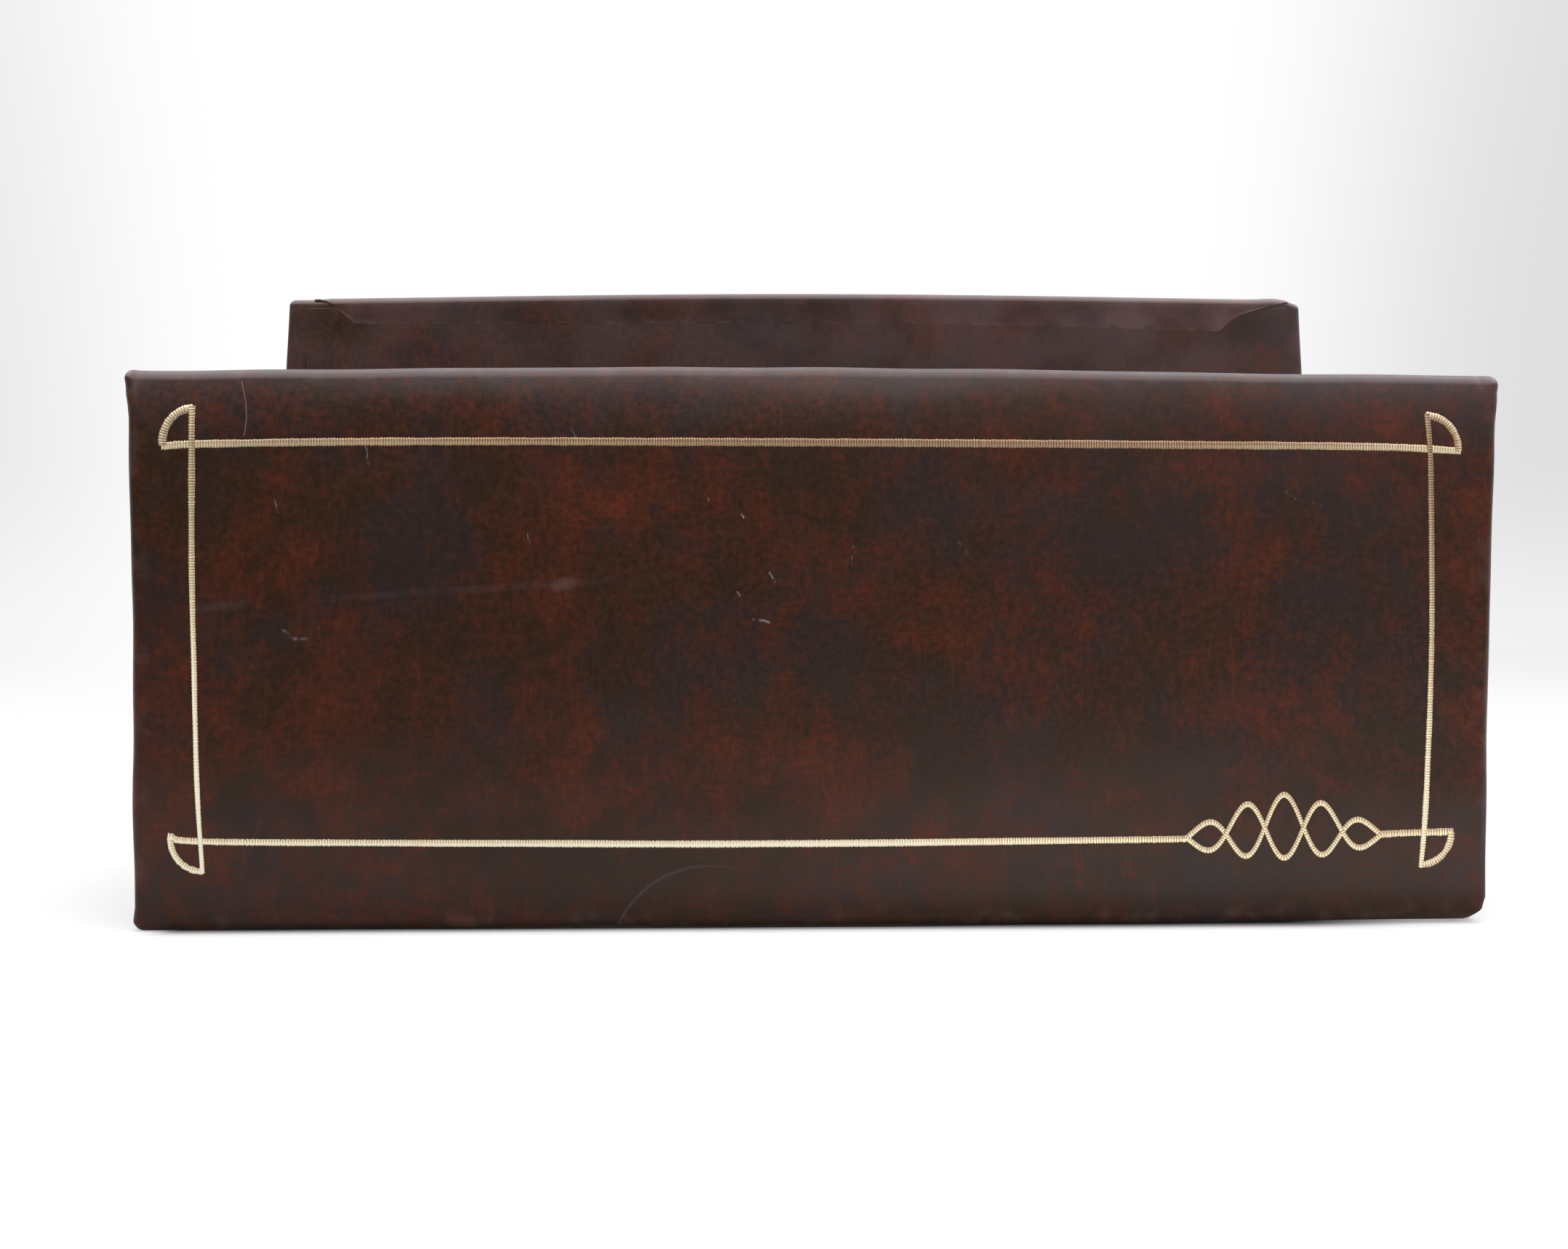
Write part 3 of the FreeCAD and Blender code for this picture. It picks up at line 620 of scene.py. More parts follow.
def scattered_tint(across, up, seed):
    """The same for any other face, its clouds scattered at random: one for each CLOUD_AREA."""
    random = np.random.default_rng(seed)
    across, up = across + 3 * waves(across, up, 15, seed), up + 3 * waves(across, up, 13, seed + 1)
    total = np.zeros_like(across)
    for _ in range(int(np.ptp(across) * np.ptp(up) / CLOUD_AREA)):
        middle = random.uniform(across.min(), across.max()), random.uniform(up.min(), up.max())
        half_width, half_height = random.uniform(4, 11, 2)
        cloud = hump(across, middle[0], half_width) * hump(up, middle[1], half_height)
        total += random.choice((1, 1, -1)) * cloud
    return np.clip(total, -1, 1)


def front_box():
    """The front panel's corners before it widens upwards: as wide as the back panel."""
    low, high = span("front_cover")
    low[0], high[0] = span("back_cover")[0][0], span("back_cover")[1][0]
    return low, high


def front_relief(x, z):
    """How far the padded face lies behind its foremost plane, in mm."""
    low, high = front_box()
    middle = (z - low[2]) / (high[2] - low[2]) * 2 - 1
    crown = FACE_CROWN * (0.5 * (x / high[0]) ** 2 + 0.5 * middle**2)
    top = np.clip((z - (high[2] - TOP_ROLL_HEIGHT)) / TOP_ROLL_HEIGHT, 0, 1.2)
    foot = np.clip((low[2] + FOOT_ROLL_HEIGHT - z) / FOOT_ROLL_HEIGHT, 0, 1)
    rolls = TOP_ROLL_DEPTH * top**2.2 + FOOT_ROLL_DEPTH * foot**2
    dents = SURFACE_WAVE * (waves(x, z, 34, 3) + 0.4 * waves(x, z, 12, 4))
    return crown + rolls + dents


def front_half_width(x, z):
    """Half the panel's width at a height: it widens upwards, and each top corner has a soft ear."""
    height = np.clip(z / 94, 0, 1.2)
    ear = 0.45 * ease(z, 96, 103) + 0.3 * ease(z, 103.2, 105.8)
    left = 129.95 + 1.3 * height**1.5 + 0.35 * hump(z, 20, 12) + 0.5 * (1 - ease(z, 1.5, 5))
    right = 130.45 + 1.55 * height**1.5 + 0.25 * ease(z, 62, 80) + 0.2 * ease(z, 93, 102)
    left = left + 0.2 * ease(z, 99, 103) - 0.27 * hump(z, 60, 13)
    return np.where(x < 0, left, right) + ear


def shape_front(points):
    """Bends a plain soft box into the wrapped front panel."""
    low, high = front_box()
    x, y, z = points.T.copy()
    height = (z - low[2]) / (high[2] - low[2])
    half = high[0]
    lifted = FRONT_CROWN_HEIGHT * np.cos(x / half * math.pi / 2) ** 1.4
    lifted += 0.72 + 0.3 * hump(x, -129.4, 1.5) + 0.35 * ease(x, 80, 110) + 0.07 * waves(x, x, 40, 8)
    z = z + lifted * ease(height, 0.55, 1.0)
    foot = FRONT_FOOT - low[2] + 0.2 * ease(x, 2, 14) + 0.42 * ease(x, 60, 125) + 0.03 * waves(x, x, 44, 9)
    z = z + foot * ease(1 - height, 0.75, 1.0)
    x = x * front_half_width(x, z) / half
    x = x + np.sign(x) * EDGE_WAVE * waves(z, z, 36, 12) * ease(np.abs(x), half - 6, half)
    wide, tall = CRUSHED_CORNER
    corner = (x - front_half_width(x, z)) / wide + (low[2] - z) / tall + 2
    over = np.clip(corner - 0.75, 0, None) * (x > 0) * (z < 8)
    x, z = x - over * 0.5 * wide, z + over * 0.5 * tall
    front = (high[1] - y) / (high[1] - low[1])
    pleat = 0.1 * hump(x, -129.4, 0.6) * ease(z, high[2] - 3, high[2])
    tuck = 0.12 * hump(x, 129.2, 0.7) * ease(z, high[2] - 3, high[2])
    y = y + (front_relief(x, z) + pleat + tuck) * front
    return np.stack([x, y, z], -1)


def front_panel(finish):
    low, high = front_box()
    lining_low, lining_high = span("front_lining")
    half = high[0]
    edge_lines = np.arange(0.4, 6, 0.45)
    turn_in = lining_high[2]
    extra = (
        np.concatenate([-half + edge_lines, half - edge_lines]),
        (),
        np.concatenate([step_at(turn_in), high[2] - edge_lines]),
    )
    points, quads, edge = soft_box(low, high, FRONT_EDGE_RADIUS, extra)
    x, y, z = points.T
    inner = (y > high[1] - 0.01) & (z < turn_in) & (np.abs(x) < lining_high[0] - 0.5)
    points = shape_front(points)
    points[inner, 1] = lining_low[1] + 0.15
    labels = {"edge": edge, "rust": front_tint(points[:, 0], points[:, 2])}
    panel = leather_piece(finish, "front_panel_leather", points, quads, look="front_leather", **labels)
    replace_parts(panel, "front_cover", "front_padding", "front_board")


# ---- gold border


def smooth_path(corners, spacing=0.13):
    """A smooth path through a few (x, z) corners, by a Catmull-Rom curve."""
    knots = np.array(corners, float)
    knots = np.vstack([2 * knots[0] - knots[1], knots, 2 * knots[-1] - knots[-2]])
    found = []
    for a, b, c, d in zip(knots, knots[1:], knots[2:], knots[3:]):
        count = max(2, int(np.linalg.norm(c - b) / spacing))
        t = np.linspace(0, 1, count, endpoint=False)[:, None]
        found.append(
            0.5 * (2 * b + (c - a) * t + (2 * a - 5 * b + 4 * c - d) * t**2 + (3 * b - a - 3 * c + d) * t**3)
        )
    return np.vstack([*found, knots[-2]])


def ellipse_arc(centre, radii, start_angle, end_angle, count=26):
    """Points on a stretch of an ellipse, angles in degrees."""
    angles = np.radians(np.linspace(start_angle, end_angle, count))
    return np.stack([centre[0] + radii[0] * np.cos(angles), centre[1] + radii[1] * np.sin(angles)], -1)


def distance_along(path):
    """How far along a path each of its points lies."""
    return np.concatenate([[0], np.cumsum(np.linalg.norm(np.diff(path, axis=0), axis=1))])


def stroke(path, widths, lift=0.0, shine=1.0):
    """A raised foil line on the front face: rings, then each point's place along and across, and its burnish
    and painted sheen.
    """
    ahead = np.gradient(path, axis=0)
    ahead /= np.linalg.norm(ahead, axis=1, keepdims=True)
    side = np.stack([-ahead[:, 1], ahead[:, 0]], -1)
    arch = np.linspace(0, math.pi, 11)
    across = np.concatenate([np.cos(arch), [-1, 1]]) / 2
    rise = np.concatenate([(1 - np.cos(arch) ** 4) * LINE_HEIGHT + lift + 0.02, [-0.3, -0.3]])
    flat = path[:, None] + side[:, None] * (across * widths[:, None])[..., None]
    x, z = flat[..., 0], flat[..., 1]
    face = span("front_cover")[0][1]
    rings = np.stack([x, face + front_relief(x, z) - rise, z], -1)
    along = np.repeat(distance_along(path)[:, None], len(across), 1)
    evenly = np.ones_like(along)
    return rings, along, evenly * 2 * across, evenly * np.reshape(shine, (-1, 1))


def foil(name, material, strokes):
    """One gold piece from several strokes, their threads out of step."""
    points, faces = [], []
    for rings, _, _, _ in strokes:
        some_points, some_faces = swept(rings)
        faces += [[len(points) + corner for corner in face] for face in some_faces]
        points += some_points.tolist()
    _, runs, across, shine = zip(*strokes)
    along = [run + index * THREAD_SHIFT for index, run in enumerate(runs)]
    return piece(
        name, "case", "gold_foil", material, points, faces,
        along=np.concatenate(along), across=np.concatenate(across), shine=np.concatenate(shine),
    )


def hand_width(path, width, seed):
    """A line's width along it: uneven, with a notch at each thread, as foil pressed over cloth is."""
    run = distance_along(path)
    threads = 0.08 * np.sin(2 * math.pi * run / THREAD_PITCH + 2 * waves(run, run, 6, seed + 1))
    return width * (1 + 0.05 * waves(run, run, 20, seed) + 0.06 * waves(run, run, 1.1, seed + 2) + threads)


# The border's lines: (x, z) corners, then (x, width, burnish and painted sheen), or (z, width, burnish and
# painted sheen) where it is upright
TOP_LINE = (
    ((-124.4, 92.0), (-114.8, 92.5), (-72.6, 93.1), (0, 93.15), (62.1, 93.0), (107.5, 92.75), (124.7, 92.0)),
    (
        (-124, 1.4, 0.9), (-104, 1.4, 0.45), (-60, 1.42, 0.2), (0, 1.5, 0.0),
        (60, 1.45, 0.0), (100, 1.42, 0.35), (124, 1.3, 0.9),
    ),
)
FOOT_LINE_LEFT = (
    ((-123.2, 18.3), (-114.8, 17.2), (-60.3, 16.65), (-5.1, 16.35), (62.1, 16.8), (71.4, 17.0)),
    ((-120, 1.22, 1.18), (-60, 1.25, 1.2), (0, 1.38, 1.42), (70, 1.26, 0.7)),
)
FOOT_LINE_RIGHT = (
    ((108.6, 17.6), (114.6, 17.9), (123.2, 18.1)),
    ((108, 1.35, 0.65), (124, 1.35, 0.7)),
)
LEFT_LINE = (
    ((-118.7, 99.7), (-118.7, 78.7), (-118.5, 62.3), (-118.0, 41.7), (-117.5, 25.3), (-116.7, 11.2)),
    ((12, 0.8, 1.5), (24, 0.95, 1.6), (55, 0.93, 1.25), (85, 1.2, 0.46)),
)
RIGHT_LINE = (
    ((118.1, 99.2), (118.8, 89.1), (119, 72), (118.9, 55.3), (118.5, 38.5), (117.6, 21.6), (116.8, 11.3)),
    ((12, 0.86, 1.1), (24, 1.14, 1.2), (55, 0.98, 0.6), (85, 1.06, 0.05)),
)
BORDER_LINES = (TOP_LINE, FOOT_LINE_LEFT, FOOT_LINE_RIGHT, LEFT_LINE, RIGHT_LINE)
# Each corner loop: centre, radii, start and end angle, width, burnish and painted sheen
CORNER_LOOPS = (
    ((-118.6, 92.6), (5.6, 6.6), 90, 184, 1.5, 0.5),
    ((118.1, 92.4), (6.1, 6.4), -4, 92, 1.45, 0.4),
    ((-116.8, 17.8), (5.9, 6.2), 180, 272, 1.2, 1.2),
    ((116.7, 17.9), (6.1, 6.2), 0, -92, 1.25, 0.7),
)
SCROLL_ENDS = (71.0, 109.0)


def scroll_strokes():
    """A plain braid of two crossing strands, widest in its middle, let into the lower line."""
    share = np.linspace(0, 1, 170)
    x = SCROLL_ENDS[0] + (SCROLL_ENDS[1] - SCROLL_ENDS[0]) * share
    rise = 17.1 + 0.5 * share + 1.9 * np.sin(math.pi * share) ** 2
    swing = (1.9 + 4.2 * np.sin(math.pi * share) ** 1.5) * np.sin(SCROLL_LOBES * math.pi * share)
    found = []
    for side, lift in ((1, 0.0), (-1, OVERLAP_LIFT)):
        path = np.stack([x, rise + side * swing], -1)
        level = np.abs(np.gradient(path[:, 0])) / np.hypot(*np.gradient(path, axis=0).T)
        found.append(stroke(path, SCROLL_WIDTH * (0.72 + 0.45 * level), lift, SCROLL_BURNISH_AND_SHEEN))
    return found


def gold_border(finish):
    lines = []
    for index, (corners, stops) in enumerate(BORDER_LINES):
        path = smooth_path(corners)
        upright = abs(path[-1, 1] - path[0, 1]) > abs(path[-1, 0] - path[0, 0])
        at, widths, shines = np.array(stops).T
        run = path[:, 1 if upright else 0]
        width = hand_width(path, np.interp(run, at, widths), 20 + index)
        lines.append(stroke(path, width, OVERLAP_LIFT if upright else 0.0, np.interp(run, at, shines)))
    loops = []
    for index, (centre, radii, start_angle, end_angle, width, shine) in enumerate(CORNER_LOOPS):
        path = ellipse_arc(centre, radii, start_angle, end_angle)
        loops.append(stroke(path, hand_width(path, width, 40 + index), OVERLAP_LIFT / 2, shine))
    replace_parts(foil("gold_border_lines", finish["gold"], lines), "gold_border")
    foil("gold_corner_loops", finish["gold"], loops)
    foil("gold_scroll", finish["gold"], scroll_strokes())


# ---- back panel


def back_crest(x):
    """The height of the back panel's top edge above the solid's, in mm."""
    crest = BACK_CROWN_HEIGHT * np.cos(np.clip(x / 150, -1, 1) * math.pi / 2) ** 1.5 + 0.006 * x
    return crest + 0.55 + 0.32 * hump(x, 123.5, 4) - 0.8 * ease(x, 125.8, 128.2)


def back_half_width(x, z):
    """Half the panel's width at a height: it spreads a little above the sides and draws in at its top."""
    return 130.2 + np.where(x < 0, 1.2, 0.9) * ease(z, 60, 112) - 1.45 * ease(z, 108, 146)


def shape_back(points):
    """Bends a plain soft box into the wrapped back panel."""
    low, high = span("back_cover")
    x, y, z = points.T.copy()
    height = (z - low[2]) / (high[2] - low[2])
    z = z + back_crest(x) * ease(height, 0.7, 1.0)
    x = x * back_half_width(x, z) / high[0]
    x = x + np.sign(x) * EDGE_WAVE * waves(z, z, 36, 32) * ease(np.abs(x), 122, 130)
    outer = (y - low[1]) / (high[1] - low[1])
    y = y + 0.12 * waves(x, z, 40, 33) * ease(height, 0.0, 0.2) * outer
    return np.stack([x, y, z], -1)


def back_look(x, y, z, seed):
    """Bloom and rust labels of the back panel's leather: paler on its inner face, partly dust and partly
    painted sheen, most at its right, and darker in the corners under the flap's mitres, a painted shade.
    """
    low, high = span("back_cover")
    inner = ease(high[1] - y, 0.2, high[1] - low[1] - 0.2)
    # Painted shade: the inner face darker in its corners under the flap's mitred ends, with less bloom and
    # less rust
    corners = (hump(x, -118, 9) + hump(x, 116, 11)) * ease(z, 126, 134)
    dust_and_sheen = inner * np.interp(x, DUST_AND_SHEEN_PLACES, (1.0, 1.0, 1.35, 1.5)) * (1 - 0.9 * np.clip(corners, 0, 1))
    rust = inner * (0.6 * waves(x, z, 26, seed) - corners) + (1 - inner) * scattered_tint(x, z, 36)
    return {"dust_and_sheen": dust_and_sheen, "rust": rust}


def back_panel(finish):
    low, high = span("back_cover")
    lining_low, lining_high = span("back_lining")
    side = lining_high[0]
    under_flap = high[2] - 3.5
    extra = (step_at(-side, side), (), step_at(under_flap))
    points, quads, edge = soft_box(low, high, BACK_EDGE_RADIUS, extra)
    x, y, z = points.T
    inner = (y < low[1] + 0.01) & (z < under_flap) & (np.abs(x) < side)
    points = shape_back(points)
    points[inner, 1] = lining_high[1] - 0.15
    look = back_look(*points.T, 35)
    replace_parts(leather_piece(finish, "back_panel_leather", points, quads, edge=edge, **look), "back_cover")

    low_sheet = (-side - 0.9, low[1] - 0.08, lining_low[2])
    high_sheet = (side + 0.9, lining_high[1] + 0.6, under_flap + 1)
    points, quads, _ = soft_box(low_sheet, high_sheet, 0.1, step=4)
    points[:, 2] += back_crest(points[:, 0]) * ease(points[:, 2], 90, under_flap)
    look = back_look(*points.T, 35)
    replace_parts(leather_piece(finish, "back_lining_leather", points, quads, **look), "back_lining")


# The turned-in top flap's lower edge on the inner face: (x, z), mitred at both ends
FLAP_EDGE = (
    (-123.4, 141.4), (-119.1, 139.7), (-113.4, 134.7), (-96, 134.7), (-50, 135.2), (0, 135.7),
    (50, 135.4), (96, 134.4), (108.2, 134.2), (113.8, 138.4), (120.5, 140.4), (126.4, 141.9),
)


def at_mitre(x):
    """How near a place along the flap is to its mitred ends, most at the lifted right one."""
    return 0.6 * hump(x, -116, 4) + hump(x, 120, 6)


def back_flap(finish):
    """The cover turned over the back panel's top edge and glued down on the inner face."""
    low, high = span("back_cover")
    corners = np.array(FLAP_EDGE)
    along = np.unique(np.concatenate([np.arange(corners[0, 0], corners[-1, 0], 1.3), corners[:, 0]]))
    edge_z = np.interp(along, *corners.T)
    top = high[2] + back_crest(along)
    radius = BACK_EDGE_RADIUS
    turn = np.linspace(0, math.pi, 15)
    rings = []
    for place, start_z, crest in zip(along, edge_z, top):
        centre_y, centre_z = (low[1] + high[1]) / 2, crest - radius
        bow = (high[1] - low[1]) / 2
        start_z = min(start_z, crest - 0.25)
        up = np.linspace(start_z, max(start_z, centre_z), FLAP_STEPS + 1)[:-1]
        inner = np.stack([np.full(FLAP_STEPS, low[1]), up], -1)
        begin = 0.0 if start_z < centre_z else math.asin(min(1, (start_z - centre_z) / radius))
        angles = begin + turn * (0.72 * math.pi - begin) / math.pi
        over = np.stack([centre_y - bow * np.cos(angles), centre_z + radius * np.sin(angles)], -1)
        skin = np.vstack([inner, over])
        facing = np.gradient(skin, axis=0)
        facing = np.stack([-facing[:, 1], facing[:, 0]], -1)
        facing /= np.linalg.norm(facing, axis=1, keepdims=True) + 1e-9
        thick = FLAP_THICKNESS * np.ones(len(skin))
        thick[:FLAP_STEPS] *= np.linspace(0.25 + 0.6 * at_mitre(place), 1.0, FLAP_STEPS)
        thick[-4:] *= np.linspace(0.8, -0.3, 4)
        thick *= 0.1 + 0.9 * ease(place, along[0], along[0] + 4) * ease(-place, -along[-1], 4 - along[-1])
        outer = skin + facing * thick[:, None]
        under = skin - facing * 0.3
        ring = np.vstack([outer, under[::-1]])
        rings.append(np.column_stack([np.full(len(ring), place), ring]))
    points, faces = swept(np.array(rings))
    x, y, z = points.T
    y += 0.05 * waves(x, z, 9, 51)
    look = back_look(x, y, np.full(len(x), low[2]), 53)
    # The flap paler still, most at its right: partly dust, partly painted sheen
    look["dust_and_sheen"] *= np.interp(x, DUST_AND_SHEEN_PLACES, (1.5, 1.0, 1.8, 2.3))
    from_edge = np.tile(np.arange(len(rings[0])), len(rings))
    # Paler at the edge of its mitred ends: partly wear, partly a painted highlight
    look["dust_and_sheen"] += (from_edge < 2) * 3 * at_mitre(x)
    # The flap's lower edge takes the edge-wear colour: a pale line, partly wear and partly a painted
    # highlight
    lower_edge = (from_edge < 1) * 1.4
    leather_piece(finish, "back_top_flap", points, faces, edge=lower_edge, **look)


# ---- side walls, dividers, drawer


def side_top(y):
    """Height of the sloping top of a side wall above its lowest, as a share of its rise."""
    low, high = span("left_side_cover")
    return np.clip((y - low[1]) / (high[1] - low[1]), 0, 1)


def side_panel(finish, side, node):
    low, high = span(node)
    turn_in = high[2] - SIDE_TURN_IN
    points, quads, edge = soft_box(low, high, 1.5, ((), (), step_at(turn_in)))
    inner_x = high[0] if side < 0 else low[0]
    inner = (np.abs(points[:, 0] - inner_x) < 0.01) & (points[:, 2] < turn_in)
    inner &= (points[:, 1] > low[1] + 1.6) & (points[:, 1] < high[1] - 1.6)
    points[inner, 0] += side * 0.65
    x, y, z = points.T
    points[:, 2] = z - SIDE_RISE * (1 - side_top(y)) * ease(z, low[2] + 2, turn_in)
    points[:, 0] += side * 0.12 * waves(y, z, 37, 60 + side) * (np.abs(x - inner_x) > 2)
    name = ("left" if side < 0 else "right") + "_side_leather"
    tint = scattered_tint(y, z, 62 + side)
    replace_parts(leather_piece(finish, name, points, quads, edge=edge, rust=tint), node)


def base_layer(name, node, label, material, setback=((0,), (0,))):
    """The base board or its felt, its front corners rounded to stay inside the front panel's crushed one."""
    low, high = span(node)
    near_corner = np.arange(CORNER_STEP, BASE_CORNER + 1, CORNER_STEP)
    extra = (np.concatenate([low[0] + near_corner, high[0] - near_corner]), low[1] + near_corner, ())
    points, quads, _ = soft_box(low, high, 0.3, extra, step=5)
    corners = (low[0], -high[1]), (high[0], -low[1])
    x, forward = round_corners(points[:, 0], -points[:, 1], *corners, BASE_CORNER)
    points[:, 0] = x
    points[:, 1] = np.interp(x, *setback) * ease(forward, 0, 40) - forward
    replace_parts(piece(name, "case", label, material, points, quads), node)


def divider_panel(finish, name, node, seed):
    low, high = span(node)
    near_corner = np.arange(CORNER_STEP, DIVIDER_CORNER + 1, CORNER_STEP)
    extra = (np.concatenate([low[0] + near_corner, high[0] - near_corner]), (), high[2] - near_corner)
    points, quads, edge = soft_box(low, high, 1.3, extra)
    x, z = round_corners(points[:, 0], points[:, 2], low[[0, 2]], high[[0, 2]], DIVIDER_CORNER)
    points[:, 0], points[:, 2] = x, z
    points[:, 1] += 0.25 * waves(x, z, 90, seed) * ease(z, low[2], low[2] + 20)
    tint = scattered_tint(x, z, seed + 5)
    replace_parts(leather_piece(finish, name, points, quads, edge=edge, rust=tint), node)


def drawer_front(finish):
    low, high = span("drawer_front_cover")
    points, quads, edge = soft_box(low, high, 1.1)
    x, y, z = points.T
    x += 0.06 * waves(y, z, 25, 71) * (x > high[0] - 0.2)
    labels = {"edge": edge, "rust": scattered_tint(y, z, 72)}
    panel = leather_piece(finish, "drawer_front_leather", points, quads, "drawer", **labels)
    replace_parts(panel, "drawer_front_cover")


# The knob's stem and the screw's head: (distance, radius) and (distance, share of the head's radius)
KNOB_STEM = (
    (0, 4.2), (0.5, 4.5), (0.9, 4.5), (1.3, 4.2), (1.5, 3.7),
    (2.2, 3.05), (3.4, 2.8), (5.0, 2.9), (6.2, 3.4), (6.9, 4.4),
)
KNOB_INSET = 0.2
KNOB_BOW = 3.1
SCREW_HEAD = ((0.25, 0.6), (0.5, 0.9), (0.8, 1), (1.4, 1))
SCREW_SHANK = 1.5
SCREW_SLOT_DEPTH = 0.55
SCREW_SLOT_HALF_WIDTH = 0.36
TIP_RADIUS = 0.05


def drawer_pull(finish):
    """The turned brass knob, and the slotted screw that holds it from inside."""
    low, high = span("drawer_knob")
    centre = (low[1:] + high[1:]) / 2
    radius = (high[1] - low[1]) / 2
    stem = [(low[0] - KNOB_INSET + x, r) for x, r in KNOB_STEM]
    head = [
        (high[0] - KNOB_BOW * (1 - math.sin(a)), max(radius * math.cos(a) ** 0.75, TIP_RADIUS))
        for a in np.linspace(-1.15, math.pi / 2, 22)[:-1]
    ]
    points, faces = turned([*stem, *head, (high[0], 0.4 * TIP_RADIUS)], centre)
    knob = piece("drawer_knob_brass", "drawer", "brass", finish["brass"], points, faces)
    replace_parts(knob, "drawer_knob")

    low, high = span("drawer_knob_screw")
    head_radius = (high[1] - low[1]) / 2
    head = [(low[0] + x, head_radius * share) for x, share in SCREW_HEAD]
    shank = [(head[-1][0], SCREW_SHANK), (high[0] - 1, SCREW_SHANK), (high[0], TIP_RADIUS)]
    points, faces = turned([(head[0][0], TIP_RADIUS), *head, *shank], centre, sides=48)
    slot = (np.abs(points[:, 2] - centre[1]) < SCREW_SLOT_HALF_WIDTH) & (points[:, 0] < low[0] + 0.7)
    points[slot, 0] += SCREW_SLOT_DEPTH
    screw = piece("drawer_screw_steel", "drawer", "steel", finish["steel"], points, faces)
    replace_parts(screw, "drawer_knob_screw")


# ---- CAD nodes that stay

KEPT_NODES = {
    "leather": ("base_edge_cover",),
    "lining": ("front_lining", "left_side_lining", "right_side_lining", "slot_floor_lining"),
    "paper": ("drawer_lining",),
    "chipboard": (
        "back_board", "left_side_board", "right_side_board", "slot_floor_board", "front_divider_board",
        "rear_divider_board", "drawer_stop_strip", "drawer_bottom", "drawer_end_wall", "drawer_near_wall",
        "drawer_far_wall", "drawer_front_board",
    ),
}


def finish_cad_nodes(frame, finish):
    """Gives each CAD node that is still shown its material, and takes the knife edge off its corners."""
    for label, names in KEPT_NODES.items():
        for name in names:
            node = frame["nodes"][name]
            node.data.materials.clear()
            node.data.materials.append(finish[label])
            bevel = node.modifiers.new("soft_edges", "BEVEL")
            bevel.width = BOARD_BEVEL * MM
            bevel.segments = 2
            bevel.limit_method = "ANGLE"


# ---- stage, light and camera


def camera():
    data = bpy.data.cameras.new("camera")
    data.sensor_fit = "HORIZONTAL"
    data.sensor_width = SENSOR_WIDTH
    data.lens = FOCAL_PIXELS / PHOTO_WIDTH * SENSOR_WIDTH
    data.clip_start = 0.01
    thing = linked("camera", data)
    thing.location = [part * MM for part in CAMERA_PLACE]
    thing.rotation_euler = (math.pi / 2, 0, -math.radians(CAMERA_TURN))
    bpy.context.scene.camera = thing


def lamp(name, place, target, size, power):
    """A square soft lamp, placed in metres and turned to its target, that the gloss doesn't mirror."""
    data = bpy.data.lights.new(name, "AREA")
    data.shape = "SQUARE"
    data.size = size
    data.energy = power
    thing = linked(name, data)
    thing.location = place
    thing.visible_glossy = False
    thing.rotation_euler = (Vector(target) - Vector(place)).to_track_quat("-Z", "Y").to_euler()


def greyer_sides(nodes, aside, left, right):
    """How much greyer the backdrop gets towards its left and its right, each between two places."""
    return nodes.plus(nodes.between(aside, *left, 0.2, 0.0), nodes.between(aside, *right, 0.0, 0.26))


def world():
    """White where it is seen, a little greyer to both sides, and even as light.

    The gloss sees it dark in front, and bright behind, above and at the right.
    """
    made = bpy.data.worlds.new("world")
    bpy.context.scene.world = made
    made.use_nodes = True
    made.node_tree.nodes.clear()
    sky = Nodes(made.node_tree)
    direction = sky.add("ShaderNodeTexCoord").outputs["Generated"]
    aside, ahead, up = sky.add("ShaderNodeSeparateXYZ", {0: direction}).outputs
    path = sky.add("ShaderNodeLightPath")
    glossy = path.outputs["Is Glossy Ray"]
    seen = sky.larger(path.outputs["Is Camera Ray"], path.outputs["Is Transmission Ray"])
    grey = greyer_sides(sky, aside, (-0.52, -0.33), (0.3, 0.52))
    grey = sky.times(grey, sky.between(up, -0.02, 0.12, 0.45, 1.0))
    backdrop = sky.less(1.0, sky.times(grey, sky.between(ahead, 0.6, 0.78)))
    right = sky.times(sky.between(aside, -0.15, 0.5, 0.1, GLOSS_RIGHT), sky.between(up, 0.05, 0.3, 0.2, 1.0))
    above = sky.times(sky.between(up, 0.37, 0.66, 0.0, GLOSS_ABOVE), sky.between(ahead, 0.0, 0.6, 1.0, 0.25))
    behind = sky.between(ahead, -0.35, 0.3, 0.0, GLOSS_BEHIND)
    mirrored = sky.larger(sky.larger(behind, above), right)
    light = sky.add("ShaderNodeMix", {0: glossy, 2: AMBIENT, 3: mirrored}, data_type="FLOAT").outputs[0]
    strength = sky.add("ShaderNodeMix", {0: seen, 2: light, 3: backdrop}, data_type="FLOAT").outputs[0]
    tint = sky.mix(glossy, (1, 1, 1, 1), GLOSS_TINT)
    shade = sky.add("ShaderNodeBackground", {"Color": tint, "Strength": strength})
    sky.add("ShaderNodeOutputWorld", {"Surface": shade.outputs[0]})


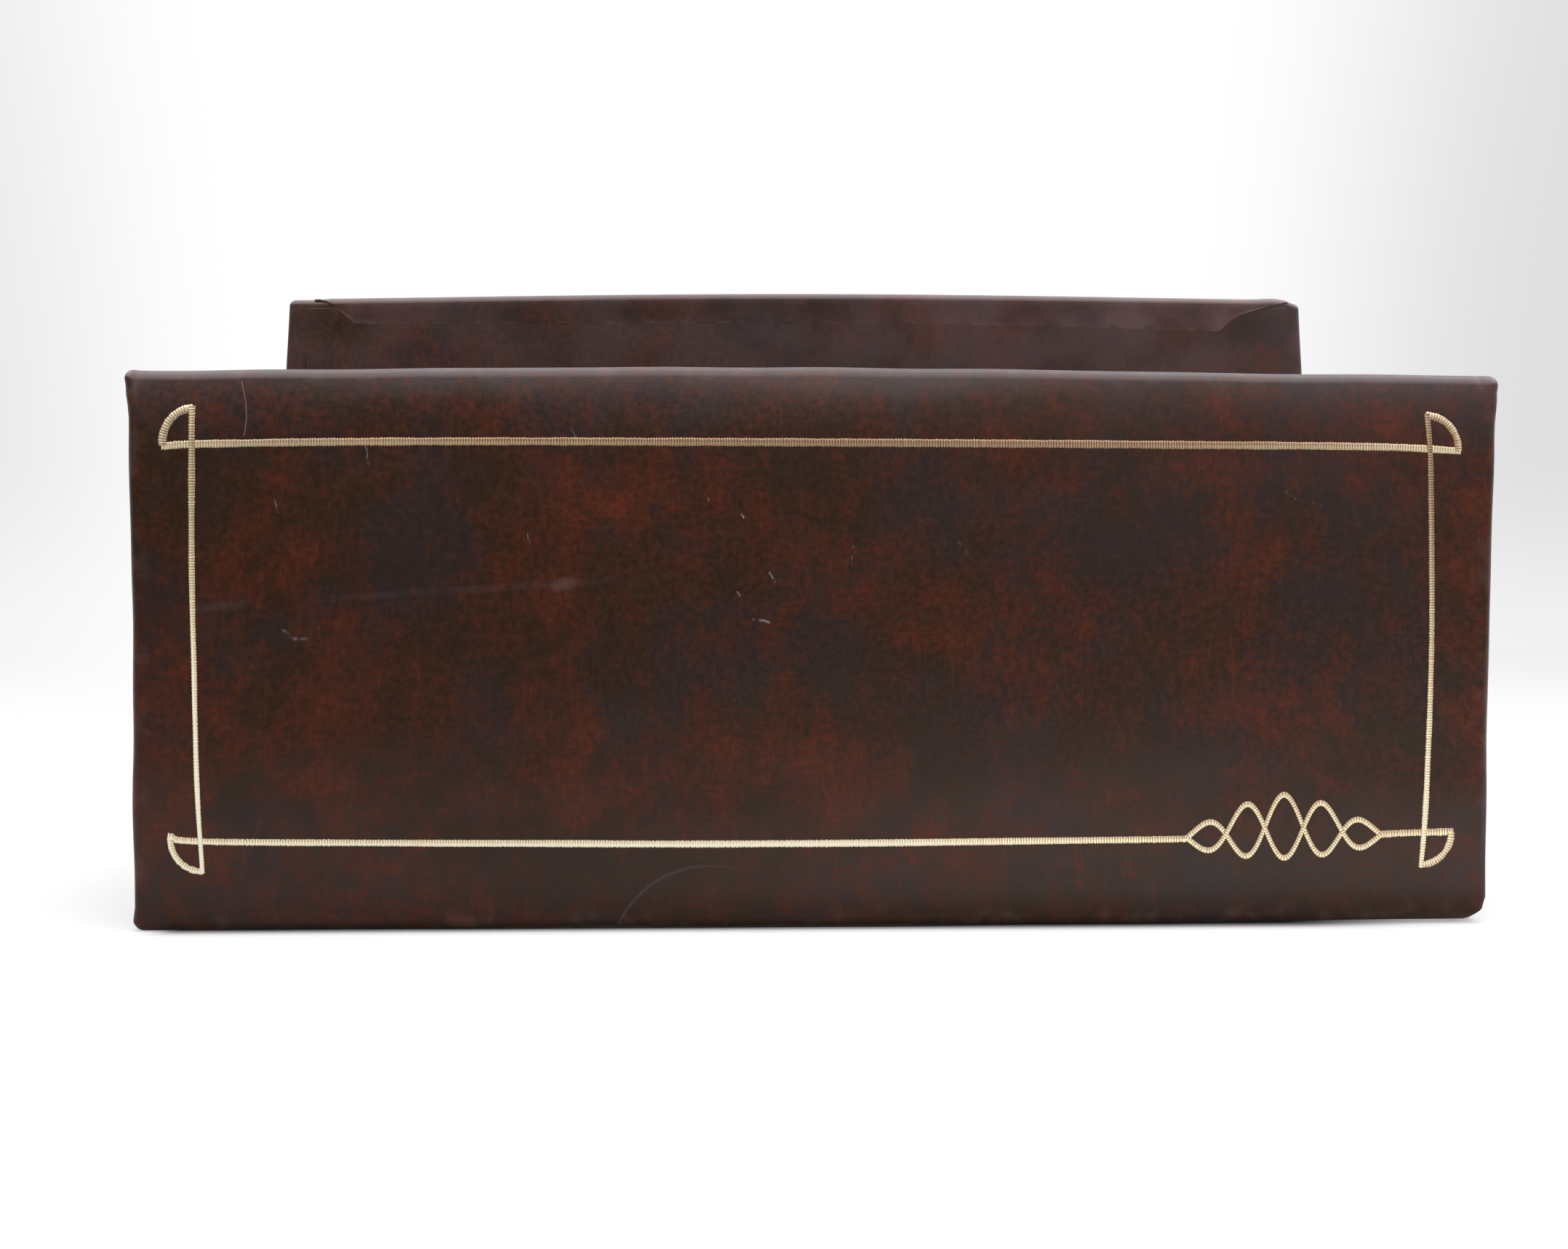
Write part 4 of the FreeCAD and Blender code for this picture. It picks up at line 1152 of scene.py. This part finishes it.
def floor():
    """A white table that keeps the object's soft shadow, with a painted shadow line along the object's foot.
    """
    bpy.ops.mesh.primitive_plane_add(size=FLOOR_SIZE)
    plane = bpy.context.object
    plane.name = "floor"
    paint = Paint("table_white", srgb(230, 230, 230), Roughness=0.8, Specular_IOR_Level=0.0)
    path = paint.add("ShaderNodeLightPath")
    seen, glossy = path.outputs["Is Camera Ray"], path.outputs["Is Glossy Ray"]
    side, back, _ = paint.add("ShaderNodeSeparateXYZ", {0: paint.place}).outputs
    before = paint.larger(paint.less(paint.math("ABSOLUTE", back), FOOT_HALF_DEPTH), 0.0)
    painted_shadow_span = paint.times(paint.between(side, *FOOT_LEFT), paint.between(side, *FOOT_RIGHT, 1.0, 0.0))
    painted_dark_reflection = paint.times(paint.between(back, *TABLE_END), glossy)
    paint.coat(paint.between(paint.noise(60, detail=2), 0.3, 0.7), srgb(233, 233, 233))
    # Painted shadow: the table coloured darker in a thin line along the object's front and back edges, fading
    # out at its ends
    paint.coat(paint.times(painted_shadow_span, paint.between(before, 0.0, 0.0035, 0.6, 0.0)), srgb(70, 66, 66))
    # Painted reflection: the table's near end coloured dark for glossy rays only
    paint.coat(painted_dark_reflection, srgb(70, 70, 70))

    # Towards the horizon the table takes the backdrop's own shade, so that the two meet unseen
    ahead = paint.less(back, TABLE_VIEWPOINT[1])
    slope = paint.math("DIVIDE", paint.less(side, TABLE_VIEWPOINT[0]), ahead)
    grey = greyer_sides(paint, slope, (-0.609, -0.35), (0.314, 0.609))
    grey = paint.times(grey, paint.between(back, -0.1, 0.3))
    grey = paint.times(grey, paint.between(paint.math("ABSOLUTE", slope), 0.8, 1.33, 1.0, 0.0))
    nearness = paint.math("DIVIDE", 1.0, ahead)
    level = paint.less(1.0, paint.times(grey, paint.between(nearness, 0.3, 1.3, 0.48, 0.0)))
    far = paint.times(seen, paint.between(paint.vector("LENGTH", paint.place), 0.24, 0.5))
    paint.coat(far, (0, 0, 0, 1))

    # What it gives off: for the camera enough to read white, less at the foot as painted shade; for the gloss
    # a pale table, a painted reflection
    # Painted shade: the camera's glow is cut along the same line, so that the line reads dark
    painted_foot_shade = paint.times(painted_shadow_span, paint.between(before, 0.0, 0.006, 1.0, 0.0))
    lit = paint.times(seen, paint.less(1.0, painted_foot_shade))
    lit = paint.times(lit, paint.less(TABLE_GLOW, paint.times(far, TABLE_GLOW)))
    lit = paint.plus(lit, paint.times(far, level))
    # Painted reflection: glow for glossy rays only, brighter to the right, none at the near end, and fading
    # in away from the object's front and back lines
    mirrored = paint.times(paint.less(glossy, painted_dark_reflection), paint.between(before, 0.005, 0.04))
    mirrored = paint.times(mirrored, paint.between(side, -0.1, 0.1, 0.5, 1.7))
    paint.give("Emission Color", (1, 1, 1, 1))
    paint.give("Emission Strength", paint.plus(lit, mirrored))
    plane.data.materials.append(paint.material)


def main():
    frame = start()
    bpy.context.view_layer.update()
    finish = make_materials()
    front_panel(finish)
    gold_border(finish)
    back_panel(finish)
    back_flap(finish)
    side_panel(finish, -1, "left_side_cover")
    side_panel(finish, 1, "right_side_cover")
    divider_panel(finish, "front_divider_leather", "front_divider_cover", 61)
    divider_panel(finish, "rear_divider_leather", "rear_divider_cover", 62)
    base_layer("base_plate", "base_board", "lining_cloth", finish["lining"])
    base_layer("base_felt_sheet", "base_felt", "felt", finish["felt"], FELT_SETBACK)
    drawer_front(finish)
    drawer_pull(finish)
    finish_cad_nodes(frame, finish)
    floor()
    world()
    lamp("overhead", (0.15, -0.25, 0.95), (0, 0, 0.05), 0.9, 4.2)
    lamp("front_fill", (-0.3, -1.3, 0.75), (0, 0, 0.05), 0.7, 3.7)
    camera()
    bpy.context.scene.view_settings.view_transform = "Standard"


main()
